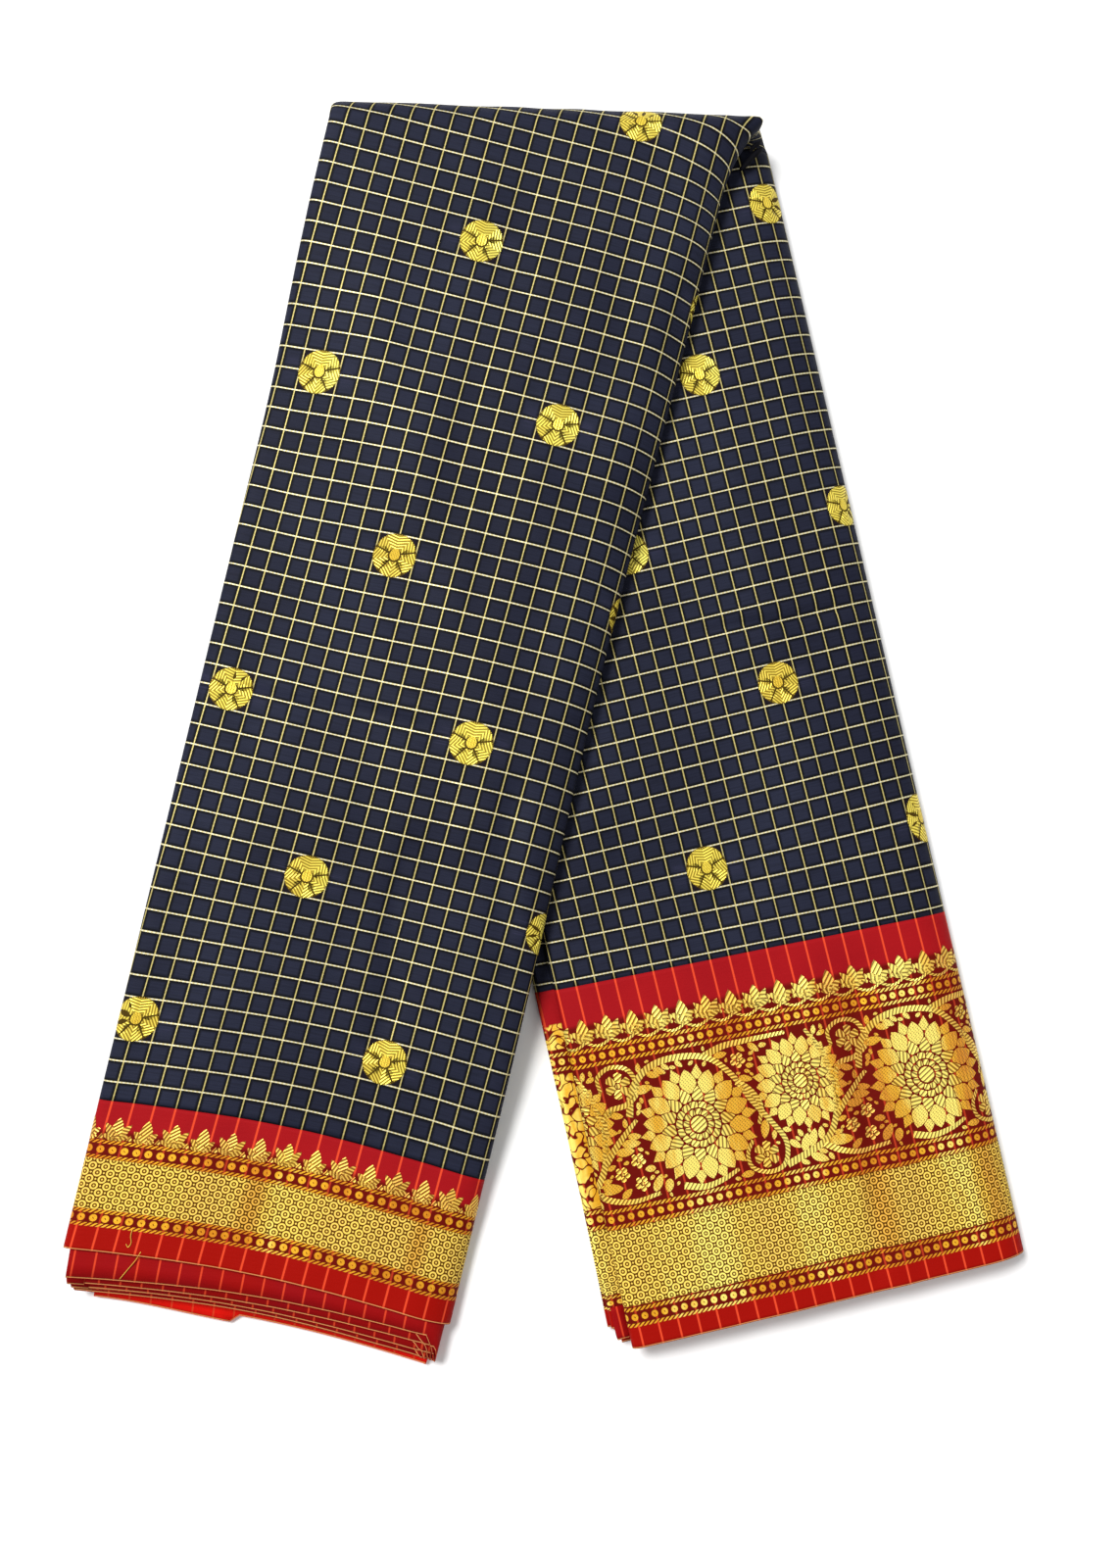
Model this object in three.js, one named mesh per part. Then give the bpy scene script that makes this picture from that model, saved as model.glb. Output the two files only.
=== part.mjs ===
// A silk saree folded for storage and laid flat: one long pack of cloth, folded once more across its
// middle, so that two legs spread from a fold at the top. The front leg lies on the back leg and ends in
// a narrow border; the back leg ends in a wide one. Millimetres, +Z up, the cloth lies on z = 0.
import * as THREE from 'three';

// Cloth and pack thickness
const WALL = 1.2; // the outermost layer with the air beneath it
const GAP = 0.3; // clearance between neighbouring pieces
const PACK = 15; // one leg: about 32 layers
const INSET = WALL + GAP; // from the outer face to the hidden layers
const HALF = PACK / 2; // the pack is two groups of layers, one on the other

// Plan of the two legs. Each edge is a straight line: x at the reference y, and its slope dx/dy
const FOLD_Y = 314.4; // the line that the pack is folded over
const FRONT = {
  left: { x: -110.7, y: FOLD_Y, slope: 0.2193 },
  right: { x: 76.4, y: 278.2, slope: 0.2403 },
  seam: { left: -145.4, right: -184.8 },
  hem: { left: -211.5, right: -251.0 },
  lowerOut: 0, // how far the lower group stands out past the upper one
};
const BACK = {
  left: { x: -9.2, y: -68.6, slope: -0.2208 },
  right: { x: 111.5, y: 281.4, slope: -0.2205 },
  seam: { left: -97.2, right: -60.5 },
  hem: { left: -262.0, right: -222.0 },
  lowerOut: 7.6,
};
const CORNER_FLARE = { reach: 9, length: 20 }; // the front leg's upper right corner opens out
const FRONT_WAIST = { depth: 3, y: 40, length: 130 }; // its right edge is drawn in half-way down
const BACK_TUCK = { reach: 14, from: -68, length: 382 }; // hidden left edge swings out to the fold

// Section of a leg
const ROLL = { wide: 22, tight: 6, low: 5 }; // right edge: the fold that all layers share
const LIP = { wide: 7, groove: 5.6 }; // left edge: the upper group's own fold
const FOLDED_EDGES = [ // the lower group's left edge, from the floor up
  { out: 0.4 },
  { out: -1.0 },
  { out: 0.2 },
];
const EDGE_GROOVE = 2.2; // depth between two of those edges
const CROWN = 1.0; // the middle of a leg stands a little higher
const RIPPLES = [ // long soft ridges that run down a leg; across is a share of its width
  { across: 0.24, height: 0.7, width: 0.08 },
  { across: 0.52, height: -0.6, width: 0.07 },
  { across: 0.74, height: 0.5, width: 0.06 },
];
const CREASE = { depth: 0.9, width: 7, share: 0.525 }; // old storage crease across both legs

// The fold at the top
const FOLD_BORE = 1.0; // inner radius
const FOLD_DEPTH = 0.75; // a pressed fold is shallower than it is high
const FOLD_AXIS_Z = PACK + FOLD_BORE;

// How the front leg comes down from the back leg to the floor
const DRAPE = { out: 72, in: 2, clear: 0.6, fold: 130 };

// Hem of the front leg: each lower layer shows a little more. Millimetres past the top layer's hem
const HEM_STEPS = [
  { left: 13.4, right: 6.6, height: 0.88, inset: 1.2 },
  { left: 16.4, right: 11.4, height: 0.68, inset: 2.8 },
  { left: 19.4, right: 16.2, height: 0.47, inset: 5.0 },
  { left: 22.2, right: 21.0, height: 0.26, inset: 8.4 },
];
const STEP_RUN = 0.3; // a step's face leans by this much
const ARCH = 6; // lines across the front leg bow towards the fold
const BACK_HEM_SHORT = { left: 9, right: 1.6, upper: 0.12 }; // lower layers end before the back hem,
// and the hidden layers of the upper group by the share named upper of that
const BACK_HEM_RUN = 14; // the last stretch of the back leg, where that shows

// Mesh resolution
const TOP_POINTS = 13;
const FIELD_STATIONS = 20;
const FOLD_STATIONS = 7;
const BORDER_STATIONS = { front: 4, back: 7 };

const COLOURS = { navy: 0x1c2344, red: 0xa5171c };

const lerp = (a, b, t) => a + (b - a) * t;
const smooth = (t) => {
  const c = Math.min(1, Math.max(0, t));
  return c * c * (3 - 2 * c);
};
const bell = (t) => Math.exp(-t * t);
const range = (n) => Array.from({ length: n }, (_, i) => i);
const edgeAt = (edge, y) => edge.x + edge.slope * (y - edge.y);

// Outline of each leg in plan: x of its left and right edge at y
function frontLeft(y) {
  return edgeAt(FRONT.left, Math.max(y, FRONT.hem.left));
}

function frontRight(y) {
  const flare = CORNER_FLARE.reach * bell((FOLD_Y + 10 - y) / CORNER_FLARE.length);
  const waist = FRONT_WAIST.depth * bell((y - FRONT_WAIST.y) / FRONT_WAIST.length);
  return edgeAt(FRONT.right, y) + flare - waist;
}

function backLeft(y) {
  return edgeAt(BACK.left, y) - BACK_TUCK.reach * smooth((y - BACK_TUCK.from) / BACK_TUCK.length);
}

function backRight(y) {
  return edgeAt(BACK.right, y);
}

// Height of the front leg's underside: on the floor, or up on the back leg
function underside(x, y) {
  const leanCos = Math.cos(Math.atan(BACK.left.slope));
  const inside = (x - backLeft(y)) * leanCos;
  const tent = smooth((inside + DRAPE.out) / (DRAPE.out + DRAPE.in));
  const near = 1 - smooth((FOLD_Y - y) / DRAPE.fold);
  const lift = 1 - (1 - tent) * (1 - near);
  const u = (x - backLeft(y)) / (backRight(y) - backLeft(y));
  const v = (FOLD_Y - y) / (FOLD_Y - lerp(BACK.hem.left, BACK.hem.right, u));
  const top = lerp(PACK + DRAPE.clear + relief(u, v), FOLD_AXIS_Z + FOLD_BORE, near);
  return lift < 0.002 ? 0 : top * lift;
}

// Soft relief of a leg's upper face: u across, v from the fold (0) to the hem (1)
function relief(u, v) {
  const inFromEnds = smooth(v / 0.12) * smooth((1.02 - v) / 0.1);
  let height = CROWN * Math.sin(Math.PI * Math.min(1, Math.max(0, u))) * smooth(v / 0.2);
  for (const ripple of RIPPLES) {
    height += ripple.height * bell((u - ripple.across) / ripple.width) * inFromEnds;
  }
  const fromCrease = (v - CREASE.share) * (FOLD_Y - FRONT.hem.left);
  return height - CREASE.depth * bell(fromCrease / CREASE.width);
}

// Points of the right edge's roll, from the upper face round to the lower one.
// a runs from the left edge, h up from the underside
function rollPoints(width, roll, inset) {
  const upper = range(5).map((i) => (i / 4) * (Math.PI / 2));
  const lower = range(3).map((i) => ((i + 1) / 3) * (Math.PI / 2));
  return [
    ...upper.map((angle) => ({
      a: width - roll.top + (roll.top - inset) * Math.sin(angle),
      h: roll.low + (PACK - roll.low - inset) * Math.cos(angle),
    })),
    ...lower.map((angle) => ({
      a: width - roll.bottom + (roll.bottom - inset) * Math.cos(angle),
      h: roll.low - (roll.low - inset) * Math.sin(angle),
    })),
  ];
}

// Points of the upper group's fold at the left edge, from the groove up to the upper face
function lipPoints(inset) {
  const middle = HALF + HALF / 2 + 0.25;
  const reach = HALF / 2 - 0.25 - inset;
  const tuck = LIP.groove - 0.6;
  return [
    { a: tuck, h: middle - reach },
    { a: inset + 1.2, h: middle - reach * 0.72 },
    { a: inset, h: middle },
    { a: inset + 1.6, h: middle + reach * 0.72 },
    { a: LIP.wide, h: PACK - inset },
  ];
}

// Points along the upper face between the lip and the roll
function facePoints(width, roll, inset) {
  return range(TOP_POINTS).map((i) => {
    const share = (i + 1) / (TOP_POINTS + 1);
    return { a: lerp(LIP.wide, width - roll.top, share), h: PACK - inset };
  });
}

// The outermost layer as a closed ring: its outer face, then its inner face back again
function coverRing(width, roll) {
  const path = (inset) => [
    ...lipPoints(inset),
    ...facePoints(width, roll, inset),
    ...rollPoints(width, roll, inset),
  ];
  return [...path(0), ...path(WALL).reverse()];
}

// The hidden layers as a closed ring: inside the outermost layer, with folded edges at the left
function layersRing(width, roll, lowerOut, rightInset = 0) {
  const edgeHeight = HALF / FOLDED_EDGES.length;
  const edges = FOLDED_EDGES.flatMap((edge, k) => [0, 0.33, 0.67].map((t) => ({
    a: -lowerOut - edge.out + EDGE_GROOVE * (1 - Math.sin(Math.PI * t) ** 0.6),
    h: (k + t) * edgeHeight,
  })));
  const last = FOLDED_EDGES[FOLDED_EDGES.length - 1];
  const roundEnd = width - roll.bottom;
  const bottom = range(TOP_POINTS).map((i) => ({
    a: lerp(roundEnd - 0.6, EDGE_GROOVE + 4, (i + 1) / (TOP_POINTS + 1)),
    h: 0,
  }));
  const ring = [
    ...edges,
    { a: -lowerOut - last.out + EDGE_GROOVE, h: HALF },
    { a: LIP.groove, h: HALF },
    ...lipPoints(INSET).map((p, i) => (i === 0 ? { a: LIP.groove, h: p.h } : p)),
    ...facePoints(width, roll, INSET),
    ...rollPoints(width, roll, INSET),
    { a: roundEnd - 0.6, h: INSET - 0.1 },
    { a: roundEnd - 0.6, h: 0 },
    ...bottom,
  ];
  return ring.map((p) => ({ a: p.a - rightInset * smooth(p.a / width), h: p.h }));
}

// A station of a leg: a straight line across it, from its left edge at yLeft to its right edge at yRight
function frontStation(yLeft, yRight, v, height = 1) {
  const start = new THREE.Vector2(frontLeft(yLeft), yLeft);
  const end = new THREE.Vector2(frontRight(yRight), yRight);
  const width = start.distanceTo(end);
  const roll = { top: ROLL.wide, bottom: ROLL.tight, low: ROLL.low };
  const place = ({ a, h }) => {
    const u = a / width;
    const arch = ARCH * Math.sin(Math.PI * Math.min(1, Math.max(0, u))) * smooth(v / 0.5);
    const x = lerp(start.x, end.x, u);
    const y = lerp(start.y, end.y, u) + arch;
    const faced = (h / PACK) ** 2;
    return new THREE.Vector3(x, y, underside(x, y) + (h + relief(u, v) * faced) * height);
  };
  return { width, roll, lowerOut: FRONT.lowerOut, place };
}

function foldStation(angle) {
  const share = angle / Math.PI;
  const left = lerp(frontLeft(FOLD_Y), backLeft(FOLD_Y), share);
  const width = lerp(frontRight(FOLD_Y), backRight(FOLD_Y), share) - left;
  const roll = {
    top: lerp(ROLL.wide, ROLL.tight, share),
    bottom: lerp(ROLL.tight, ROLL.wide, share),
    low: lerp(ROLL.low, PACK - ROLL.low, share),
  };
  const place = ({ a, h }) => new THREE.Vector3(
    left + a,
    FOLD_Y + Math.sin(angle) * FOLD_DEPTH * (FOLD_BORE + h),
    FOLD_AXIS_Z + Math.cos(angle) * (FOLD_BORE + h),
  );
  return { width, roll, lowerOut: 0, place };
}

function backStation(yLeft, yRight, v) {
  const start = new THREE.Vector2(backLeft(yLeft), yLeft);
  const end = new THREE.Vector2(backRight(yRight), yRight);
  const width = start.distanceTo(end);
  const roll = { top: ROLL.wide, bottom: ROLL.tight, low: ROLL.low };
  const lowerOut = BACK.lowerOut * smooth((v - 0.3) / 0.35);
  const place = ({ a, h }) => {
    const u = a / width;
    const faced = (h / PACK) ** 2;
    return new THREE.Vector3(
      lerp(start.x, end.x, u), lerp(start.y, end.y, u), h + relief(u, v) * faced,
    );
  };
  return { width, roll, lowerOut, place };
}

// Stations between two lines of a leg, given as y at its left and right edge
function stations(make, from, to, count, vFrom, vTo) {
  return range(count).map((i) => {
    const t = i / (count - 1);
    return make(lerp(from.left, to.left, t), lerp(from.right, to.right, t), lerp(vFrom, vTo, t));
  });
}

// A closed solid through rings of equal length, with triangles of ring points for its flat ends. The
// quads from innerFrom on are cut along their other diagonal, as an inner face runs back along its path
function loft(rings, endTriangles, innerFrom) {
  const size = rings[0].length;
  const positions = rings.flat().flatMap((p) => [p.x, p.y, p.z]);
  const index = [];
  const last = (rings.length - 1) * size;
  for (const r of range(rings.length - 1)) {
    for (const i of range(size)) {
      const j = (i + 1) % size;
      const [p, q, s, t] = [r * size + i, r * size + j, (r + 1) * size + j, (r + 1) * size + i];
      index.push(...(i < innerFrom ? [p, q, s, p, s, t] : [p, q, t, q, s, t]));
    }
  }
  for (const [a, b, c] of endTriangles) {
    index.push(a, c, b, last + a, last + b, last + c);
  }
  const geometry = new THREE.BufferGeometry();
  geometry.setAttribute('position', new THREE.Float32BufferAttribute(positions, 3));
  geometry.setIndex(index);
  geometry.computeVertexNormals();
  return geometry;
}

// Cap of a cover's ring: quads between its outer and inner face
function wallCap(size) {
  return range(size / 2 - 1).flatMap((i) => {
    const [a, b, c, d] = [i, i + 1, size - 2 - i, size - 1 - i];
    return [[a, b, c], [a, c, d]];
  });
}

// Cap of a ring of hidden layers: its two rounded sides are cut into triangles on their own, and the
// middle into quads that join the upper face to the floor, so that a curved end stays curved
function flatCap(ring) {
  const last = ring.length - 1;
  const face = ring.findIndex((p) => p.a === LIP.wide) + 1;
  const cut = (corners) => {
    const outline = corners.map((i) => new THREE.Vector2(ring[i].a, ring[i].h));
    return THREE.ShapeUtils.triangulateShape(outline, [])
      .map((triangle) => triangle.sort((i, j) => i - j).map((i) => corners[i]));
  };
  const leftSide = [...range(face + 1), last];
  const rightSide = range(last + 1).slice(face + TOP_POINTS - 1, last - TOP_POINTS + 2);
  const middle = range(TOP_POINTS - 1).flatMap((i) => {
    const [a, b, c, d] = [face + i, face + i + 1, last - i - 1, last - i];
    return [[a, b, c], [a, c, d]];
  });
  return [...cut(leftSide), ...cut(rightSide), ...middle];
}

function facingOut(geometry) {
  const p = geometry.getAttribute('position');
  const index = geometry.getIndex();
  const [a, b, c] = [new THREE.Vector3(), new THREE.Vector3(), new THREE.Vector3()];
  let volume = 0;
  for (let i = 0; i < index.count; i += 3) {
    a.fromBufferAttribute(p, index.getX(i));
    b.fromBufferAttribute(p, index.getX(i + 1));
    c.fromBufferAttribute(p, index.getX(i + 2));
    volume += a.dot(b.clone().cross(c));
  }
  if (volume < 0) {
    const flipped = Array.from(index.array);
    for (let i = 0; i < flipped.length; i += 3) {
      [flipped[i + 1], flipped[i + 2]] = [flipped[i + 2], flipped[i + 1]];
    }
    geometry.setIndex(flipped);
  }
  geometry.computeVertexNormals();
  return geometry;
}

function cloth(name, geometry, colour) {
  const material = new THREE.MeshStandardMaterial({ color: colour, roughness: 0.55, metalness: 0 });
  const mesh = new THREE.Mesh(facingOut(geometry), material);
  mesh.name = name;
  return mesh;
}

function cover(name, list, colour) {
  const rings = list.map((s) => coverRing(s.width, s.roll).map(s.place));
  const size = rings[0].length;
  return cloth(name, loft(rings, wallCap(size), size / 2), colour);
}

function layers(name, list, colour) {
  const outlines = list.map((s) => layersRing(s.width, s.roll, s.lowerOut, s.rightInset));
  const rings = outlines.map((ring, i) => ring.map(list[i].place));
  return cloth(name, loft(rings, flatCap(outlines[0]), Infinity), colour);
}

const shift = (line, left, right = left) => ({ left: line.left - left, right: line.right - right });
const FOLD_LINE = { left: FOLD_Y, right: FOLD_Y };
const FRONT_SEAM_V = (FOLD_Y - FRONT.seam.left) / (FOLD_Y - FRONT.hem.left);
const BACK_SEAM_V = (FOLD_Y - BACK.seam.left) / (FOLD_Y - BACK.hem.left);

// The fold, from the floor under the back leg up and over to the front leg
function foldStations() {
  return range(FOLD_STATIONS).map((i) => foldStation(Math.PI * (1 - i / FOLD_STATIONS)));
}

function frontFieldStations() {
  const leg = stations(frontStation, FOLD_LINE, FRONT.seam, FIELD_STATIONS, 0, FRONT_SEAM_V);
  return [...foldStations(), ...leg];
}

function frontBorderStations() {
  const start = shift(FRONT.seam, GAP);
  return stations(frontStation, start, FRONT.hem, BORDER_STATIONS.front, FRONT_SEAM_V, 1);
}

// Hidden layers at the front hem: level as far as the top layer's hem, then down in steps
function frontHemStations() {
  const list = frontBorderStations();
  let height = 1;
  for (const step of HEM_STEPS) {
    const edge = shift(FRONT.hem, step.left, step.right);
    const before = frontStation(edge.left, edge.right, 1, height);
    const face = shift(edge, STEP_RUN);
    const after = frontStation(face.left, face.right, 1, step.height);
    before.rightInset = step.inset;
    after.rightInset = step.inset + STEP_RUN;
    list.push(before, after);
    height = step.height;
  }
  list.pop();
  return list;
}

function backFieldStations() {
  const start = shift(FOLD_LINE, GAP + 0.1);
  return stations(backStation, start, BACK.seam, FIELD_STATIONS, 0, BACK_SEAM_V);
}

function backBorderStations() {
  const start = shift(BACK.seam, GAP);
  const runStart = shift(BACK.hem, -BACK_HEM_RUN);
  const list = stations(backStation, start, runStart, BORDER_STATIONS.back, BACK_SEAM_V, 0.95);
  return [...list, backStation(BACK.hem.left, BACK.hem.right, 1)];
}

// Hidden layers at the back hem: the lower group ends first, most of all at the open edge
function backHemStations() {
  const list = backBorderStations();
  const end = list.pop();
  const place = (p) => {
    const short = lerp(BACK_HEM_SHORT.left, BACK_HEM_SHORT.right, smooth(p.a / end.width));
    const share = lerp(1, BACK_HEM_SHORT.upper, smooth((p.h - HALF + 1) / 2));
    return end.place(p).add(new THREE.Vector3(BACK.left.slope, 1, 0).multiplyScalar(short * share));
  };
  return [...list, { ...end, place }];
}

const group = new THREE.Group();
group.add(cover('front_field', frontFieldStations(), COLOURS.navy));
group.add(layers('front_layers', frontFieldStations(), COLOURS.navy));
group.add(cover('front_border', frontBorderStations(), COLOURS.red));
group.add(layers('front_hem_layers', frontHemStations(), COLOURS.red));
group.add(cover('back_field', backFieldStations(), COLOURS.navy));
group.add(layers('back_layers', backFieldStations(), COLOURS.navy));
group.add(cover('back_border', backBorderStations(), COLOURS.red));
group.add(layers('back_hem_layers', backHemStations(), COLOURS.red));

const outline = new THREE.Box3().setFromObject(group);
const middle = outline.getCenter(new THREE.Vector3());
group.position.set(-middle.x, -middle.y, 0);

export default group;
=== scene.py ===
"""A folded saree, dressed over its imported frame: thin woven cloth in place of the plain solids.

Lengths are millimetres until a mesh is made. The plan sizes repeat those of the frame's source, in its
own coordinates, and PLAN_MIDDLE moves them to the frame's origin.
"""
import math

import bmesh
import bpy
import numpy as np
from mathutils import Matrix, Vector


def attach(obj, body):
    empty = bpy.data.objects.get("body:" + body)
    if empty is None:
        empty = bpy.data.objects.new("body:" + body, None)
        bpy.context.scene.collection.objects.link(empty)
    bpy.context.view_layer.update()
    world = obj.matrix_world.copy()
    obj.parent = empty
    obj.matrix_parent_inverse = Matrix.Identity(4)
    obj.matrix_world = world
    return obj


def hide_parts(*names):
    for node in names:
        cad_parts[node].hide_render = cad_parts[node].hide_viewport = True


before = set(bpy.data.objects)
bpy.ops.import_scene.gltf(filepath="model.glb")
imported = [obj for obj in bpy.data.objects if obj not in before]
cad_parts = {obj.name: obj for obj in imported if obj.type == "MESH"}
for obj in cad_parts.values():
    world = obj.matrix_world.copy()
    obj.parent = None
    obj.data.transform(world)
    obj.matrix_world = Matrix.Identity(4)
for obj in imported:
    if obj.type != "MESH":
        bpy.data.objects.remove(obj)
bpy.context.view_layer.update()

# Plan and section of the pack, as in the frame
PLAN_MIDDLE = np.array([-1.869, 28.668])
PACK = 15.0
HALF = PACK / 2
FOLD_Y = 314.4
FOLD_BORE = 1.0
FOLD_DEPTH = 0.75
FOLD_AXIS_Z = PACK + FOLD_BORE
FRONT_LEFT = (-110.7, FOLD_Y, 0.2193)  # x at y, and dx/dy
FRONT_RIGHT = (76.4, 278.2, 0.2403)
BACK_LEFT = (-9.2, -68.6, -0.2208)
BACK_RIGHT = (111.5, 281.4, -0.2205)
LEGS = ("front", "back")
TOP = {"front": (FOLD_Y, FOLD_Y), "back": (FOLD_Y - 0.4, FOLD_Y - 0.4)}  # y at the left and right edge
SEAM = {"front": (-145.4, -184.8), "back": (-97.2, -60.5)}
HEM = {"front": (-211.5, -251.0), "back": (-262.0, -222.0)}
SEAM_V = {leg: (FOLD_Y - SEAM[leg][0]) / (FOLD_Y - HEM[leg][0]) for leg in LEGS}
LEG_LENGTH = {"front": 540.0, "back": 576.0}  # in round figures, for the hem leaves
UNDER_END = {"front": 3.0, "back": 4.0}  # where the cloth's underside ends, from the left edge
CORNER_FLARE = (9.0, 20.0)  # how far the front leg widens at the corner, and over what length
FRONT_WAIST = (3.0, 40.0, 130.0)  # depth, y and half length of its narrower middle
BACK_TUCK = (14.0, -68.0, 382.0)  # how far the back leg's left edge turns in, from which y, over what length
LOWER_OUT = 7.6  # how far the lower group of layers stands out past that edge
ROLL_WIDE, ROLL_TIGHT, ROLL_LOW = 22.0, 6.0, 5.0  # the rounded right edge: above, below, height between
LIP_WIDE, LIP_ROUND, LIP_GAP = 7.0, 0.8, 0.25  # the folded left edge of the upper group
CROWN = 1.0
RIPPLES = ((0.24, 0.7, 0.08), (0.52, -0.6, 0.07), (0.74, 0.5, 0.06))  # share across, height, half width
DRAPE_OUT, DRAPE_IN, DRAPE_CLEAR, DRAPE_FOLD = 72.0, 2.0, 0.6, 130.0  # the front leg's climb on the back one
ARCH = 6.0  # how far up the lines across the front leg bow
CLOTH = 0.45  # thickness of the woven cloth with its air
CORE_INSET, CORE_BOTTOM = 2.0, 0.7  # how far the core lies within the upper side, and above the underside

# The weave: one check in plan, across and along each leg, and a crossing that a flower sits on
CHECK = (9.58, 9.65)
WEAVE = {
    "front": {"across": (9.33, -2.18), "along": (-2.49, -9.34), "flower": (-38.56, 254.49)},
    "back": {"across": (8.90, 2.21), "along": (2.30, -9.36), "flower": (67.33, 198.41)},
}
FLOWER_RADIUS, FLOWER_HEART, FLOWER_GAP = 10.3, 2.4, 0.75
FLOWER_STEP = (12, 16)  # checks between flowers in one row and in one column; a second set half-way
BORDER_DEPTH = {"front": 71.0, "back": 173.0}
SEAM_ROW = {"front": 43.92, "back": 28.35}  # row number where the border begins
SEAM_BLEND = {"front": 0.25, "back": 0.12}  # share of the leg over which rows turn to the seam
ROW_STRETCH = {"front": 1.04, "back": 1.0}
EDGE_DRAG = (40.0, 1.6, 1.3)  # rows near the front leg's right edge: width of the strip, its limit, drag
CORNER_DRAG = (62.0, 1.5, 8.0)  # and more so at the corner
CORNER_DRAG_LENGTH = 48.0

# Mesh resolution
LIP_POINTS, FACE_POINTS, ROLL_POINTS, BOTTOM_POINTS = 10, 74, 20, 24
FOLD_STEPS, FIELD_STEPS = 26, 190
BORDER_STEPS = {"front": 40, "back": 84}
CORE_FOLD_STEPS, CORE_STEPS = 13, 44
C_FACE_POINTS, C_ROLL_POINTS, C_UNDER_POINTS, C_END_POINTS = 42, 12, 34, 7
CORE_FACE_POINTS, CORE_ROLL_POINTS = 16, 9
TUBE_SIDES = 8
PLACE_ROUNDS = 10  # of the search for a place in the weave


def lerp(a, b, t):
    return a + (b - a) * t


def smooth(t):
    c = np.clip(t, 0.0, 1.0)
    return c * c * (3 - 2 * c)


def bell(t):
    return np.exp(-t * t)


def edge_at(edge, y):
    x, y0, slope = edge
    return x + slope * (y - y0)


def front_left(y):
    return edge_at(FRONT_LEFT, np.maximum(y, HEM["front"][0]))


def front_right(y):
    reach, length = CORNER_FLARE
    depth, middle, spread = FRONT_WAIST
    flare = reach * bell((FOLD_Y + 10 - y) / length)
    return edge_at(FRONT_RIGHT, y) + flare - depth * bell((y - middle) / spread)


def back_left(y):
    reach, start, length = BACK_TUCK
    return edge_at(BACK_LEFT, y) - reach * smooth((y - start) / length)


def back_right(y):
    return edge_at(BACK_RIGHT, y)


EDGES = {"front": (front_left, front_right), "back": (back_left, back_right)}


def relief(u, v):
    """Soft height of a leg's upper face: u across it, v from the fold to the hem."""
    inside = np.clip(u, 0, 1)
    from_ends = smooth(v / 0.12) * smooth((1.02 - v) / 0.1)
    height = CROWN * np.sin(np.pi * inside) * smooth(v / 0.2)
    for across, rise, width in RIPPLES:
        height = height + rise * bell((u - across) / width) * from_ends
    return height


def underside(x, y):
    """Height of the front leg's underside: on the floor, or up on the back leg."""
    lean = math.cos(math.atan(BACK_LEFT[2]))
    inside = (x - back_left(y)) * lean
    tent = smooth((inside + DRAPE_OUT) / (DRAPE_OUT + DRAPE_IN))
    near = 1 - smooth((FOLD_Y - y) / DRAPE_FOLD)
    lift = 1 - (1 - tent) * (1 - near)
    u = (x - back_left(y)) / (back_right(y) - back_left(y))
    v = (FOLD_Y - y) / (FOLD_Y - lerp(*HEM["back"], u))
    top = lerp(PACK + DRAPE_CLEAR + relief(u, v), FOLD_AXIS_Z + FOLD_BORE, near)
    return top * lift


# Creases and dents, placed in plan: from, to, depth (a ridge is negative), half width
FRONT_CREASES = (
    ((-150, 44), (-90, 33), 0.8, 1.8),
    ((-90, 33), (-66, 27), 0.95, 1.8),
    ((-18, 4), (2, -6), 0.5, 2.4),
    ((-152, 50), (-60, 31), -0.4, 2.8),
    ((-6, 36), (2, 24), 0.5, 1.6),
    ((-9, 30), (-2, 18), 0.35, 1.6),
    ((-120, 262), (-20, 232), 0.3, 5.0),
    ((-178, -8), (-120, -24), 0.35, 3.5),
    ((-92, 150), (-84, 60), 0.45, 6.0),
    ((-40, 120), (-60, 40), -0.4, 7.0),
    ((-22, -6), (-30, -92), 3.0, 7.5),
    ((-30, -92), (-38, -150), 2.6, 8.0),
    ((-70, -30), (-86, -120), 2.3, 7.0),
    ((-48, -20), (-58, -130), -0.6, 8.0),
    ((-196, -70), (-204, -120), 0.5, 4.0),
    ((66, 240), (-20, -130), 2.0, 10.0),
    ((60, 300), (84, 276), 0.8, 3.0),
    ((40, 306), (72, 262), 0.5, 4.0),
)
BACK_CREASES = (
    ((60, 71), (80, 76), 0.5, 1.8),
    ((80, 76), (140, 86), 1.5, 2.3),
    ((62, 79), (142, 93), -0.45, 3.0),
    ((120, 190), (146, 150), 0.4, 4.0),
    ((24, -24), (75, -64), 2.6, 11.0),
    ((60, -10), (160, -34), 0.5, 10.0),
    ((140, -92), (150, -228), 1.8, 5.0),
    ((154, -92), (164, -228), -0.5, 5.0),
    ((70, -120), (92, -240), 0.3, 7.0),
    ((178, -100), (206, -214), 0.9, 5.0),
)
CREASES = {"front": (FRONT_CREASES, 0.23), "back": (BACK_CREASES, -0.22)}  # and the turn of the ripples
CREASE_FADE, CREASE_PAST = 22.0, 14.0  # a crease fades out over this length, this far past its ends
CREASE_WAVER = (1.5, 17.0)  # how far it wavers to its sides, and over what length


def crease_height(x, y, creases):
    """Height that the creases add at a plan point: fading out past both ends of each."""
    height = np.zeros_like(x)
    for (x0, y0), (x1, y1), depth, width in creases:
        length = math.hypot(x1 - x0, y1 - y0)
        ex, ey = (x1 - x0) / length, (y1 - y0) / length
        along = (x - x0) * ex + (y - y0) * ey
        aside = (y - y0) * ex - (x - x0) * ey
        aside = aside + CREASE_WAVER[0] * np.sin(along / CREASE_WAVER[1])
        fade = smooth((along + CREASE_PAST) / CREASE_FADE)
        fade = fade * smooth((length + CREASE_PAST - along) / CREASE_FADE)
        height = height - depth * bell(aside / width) * fade
    return height


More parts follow.
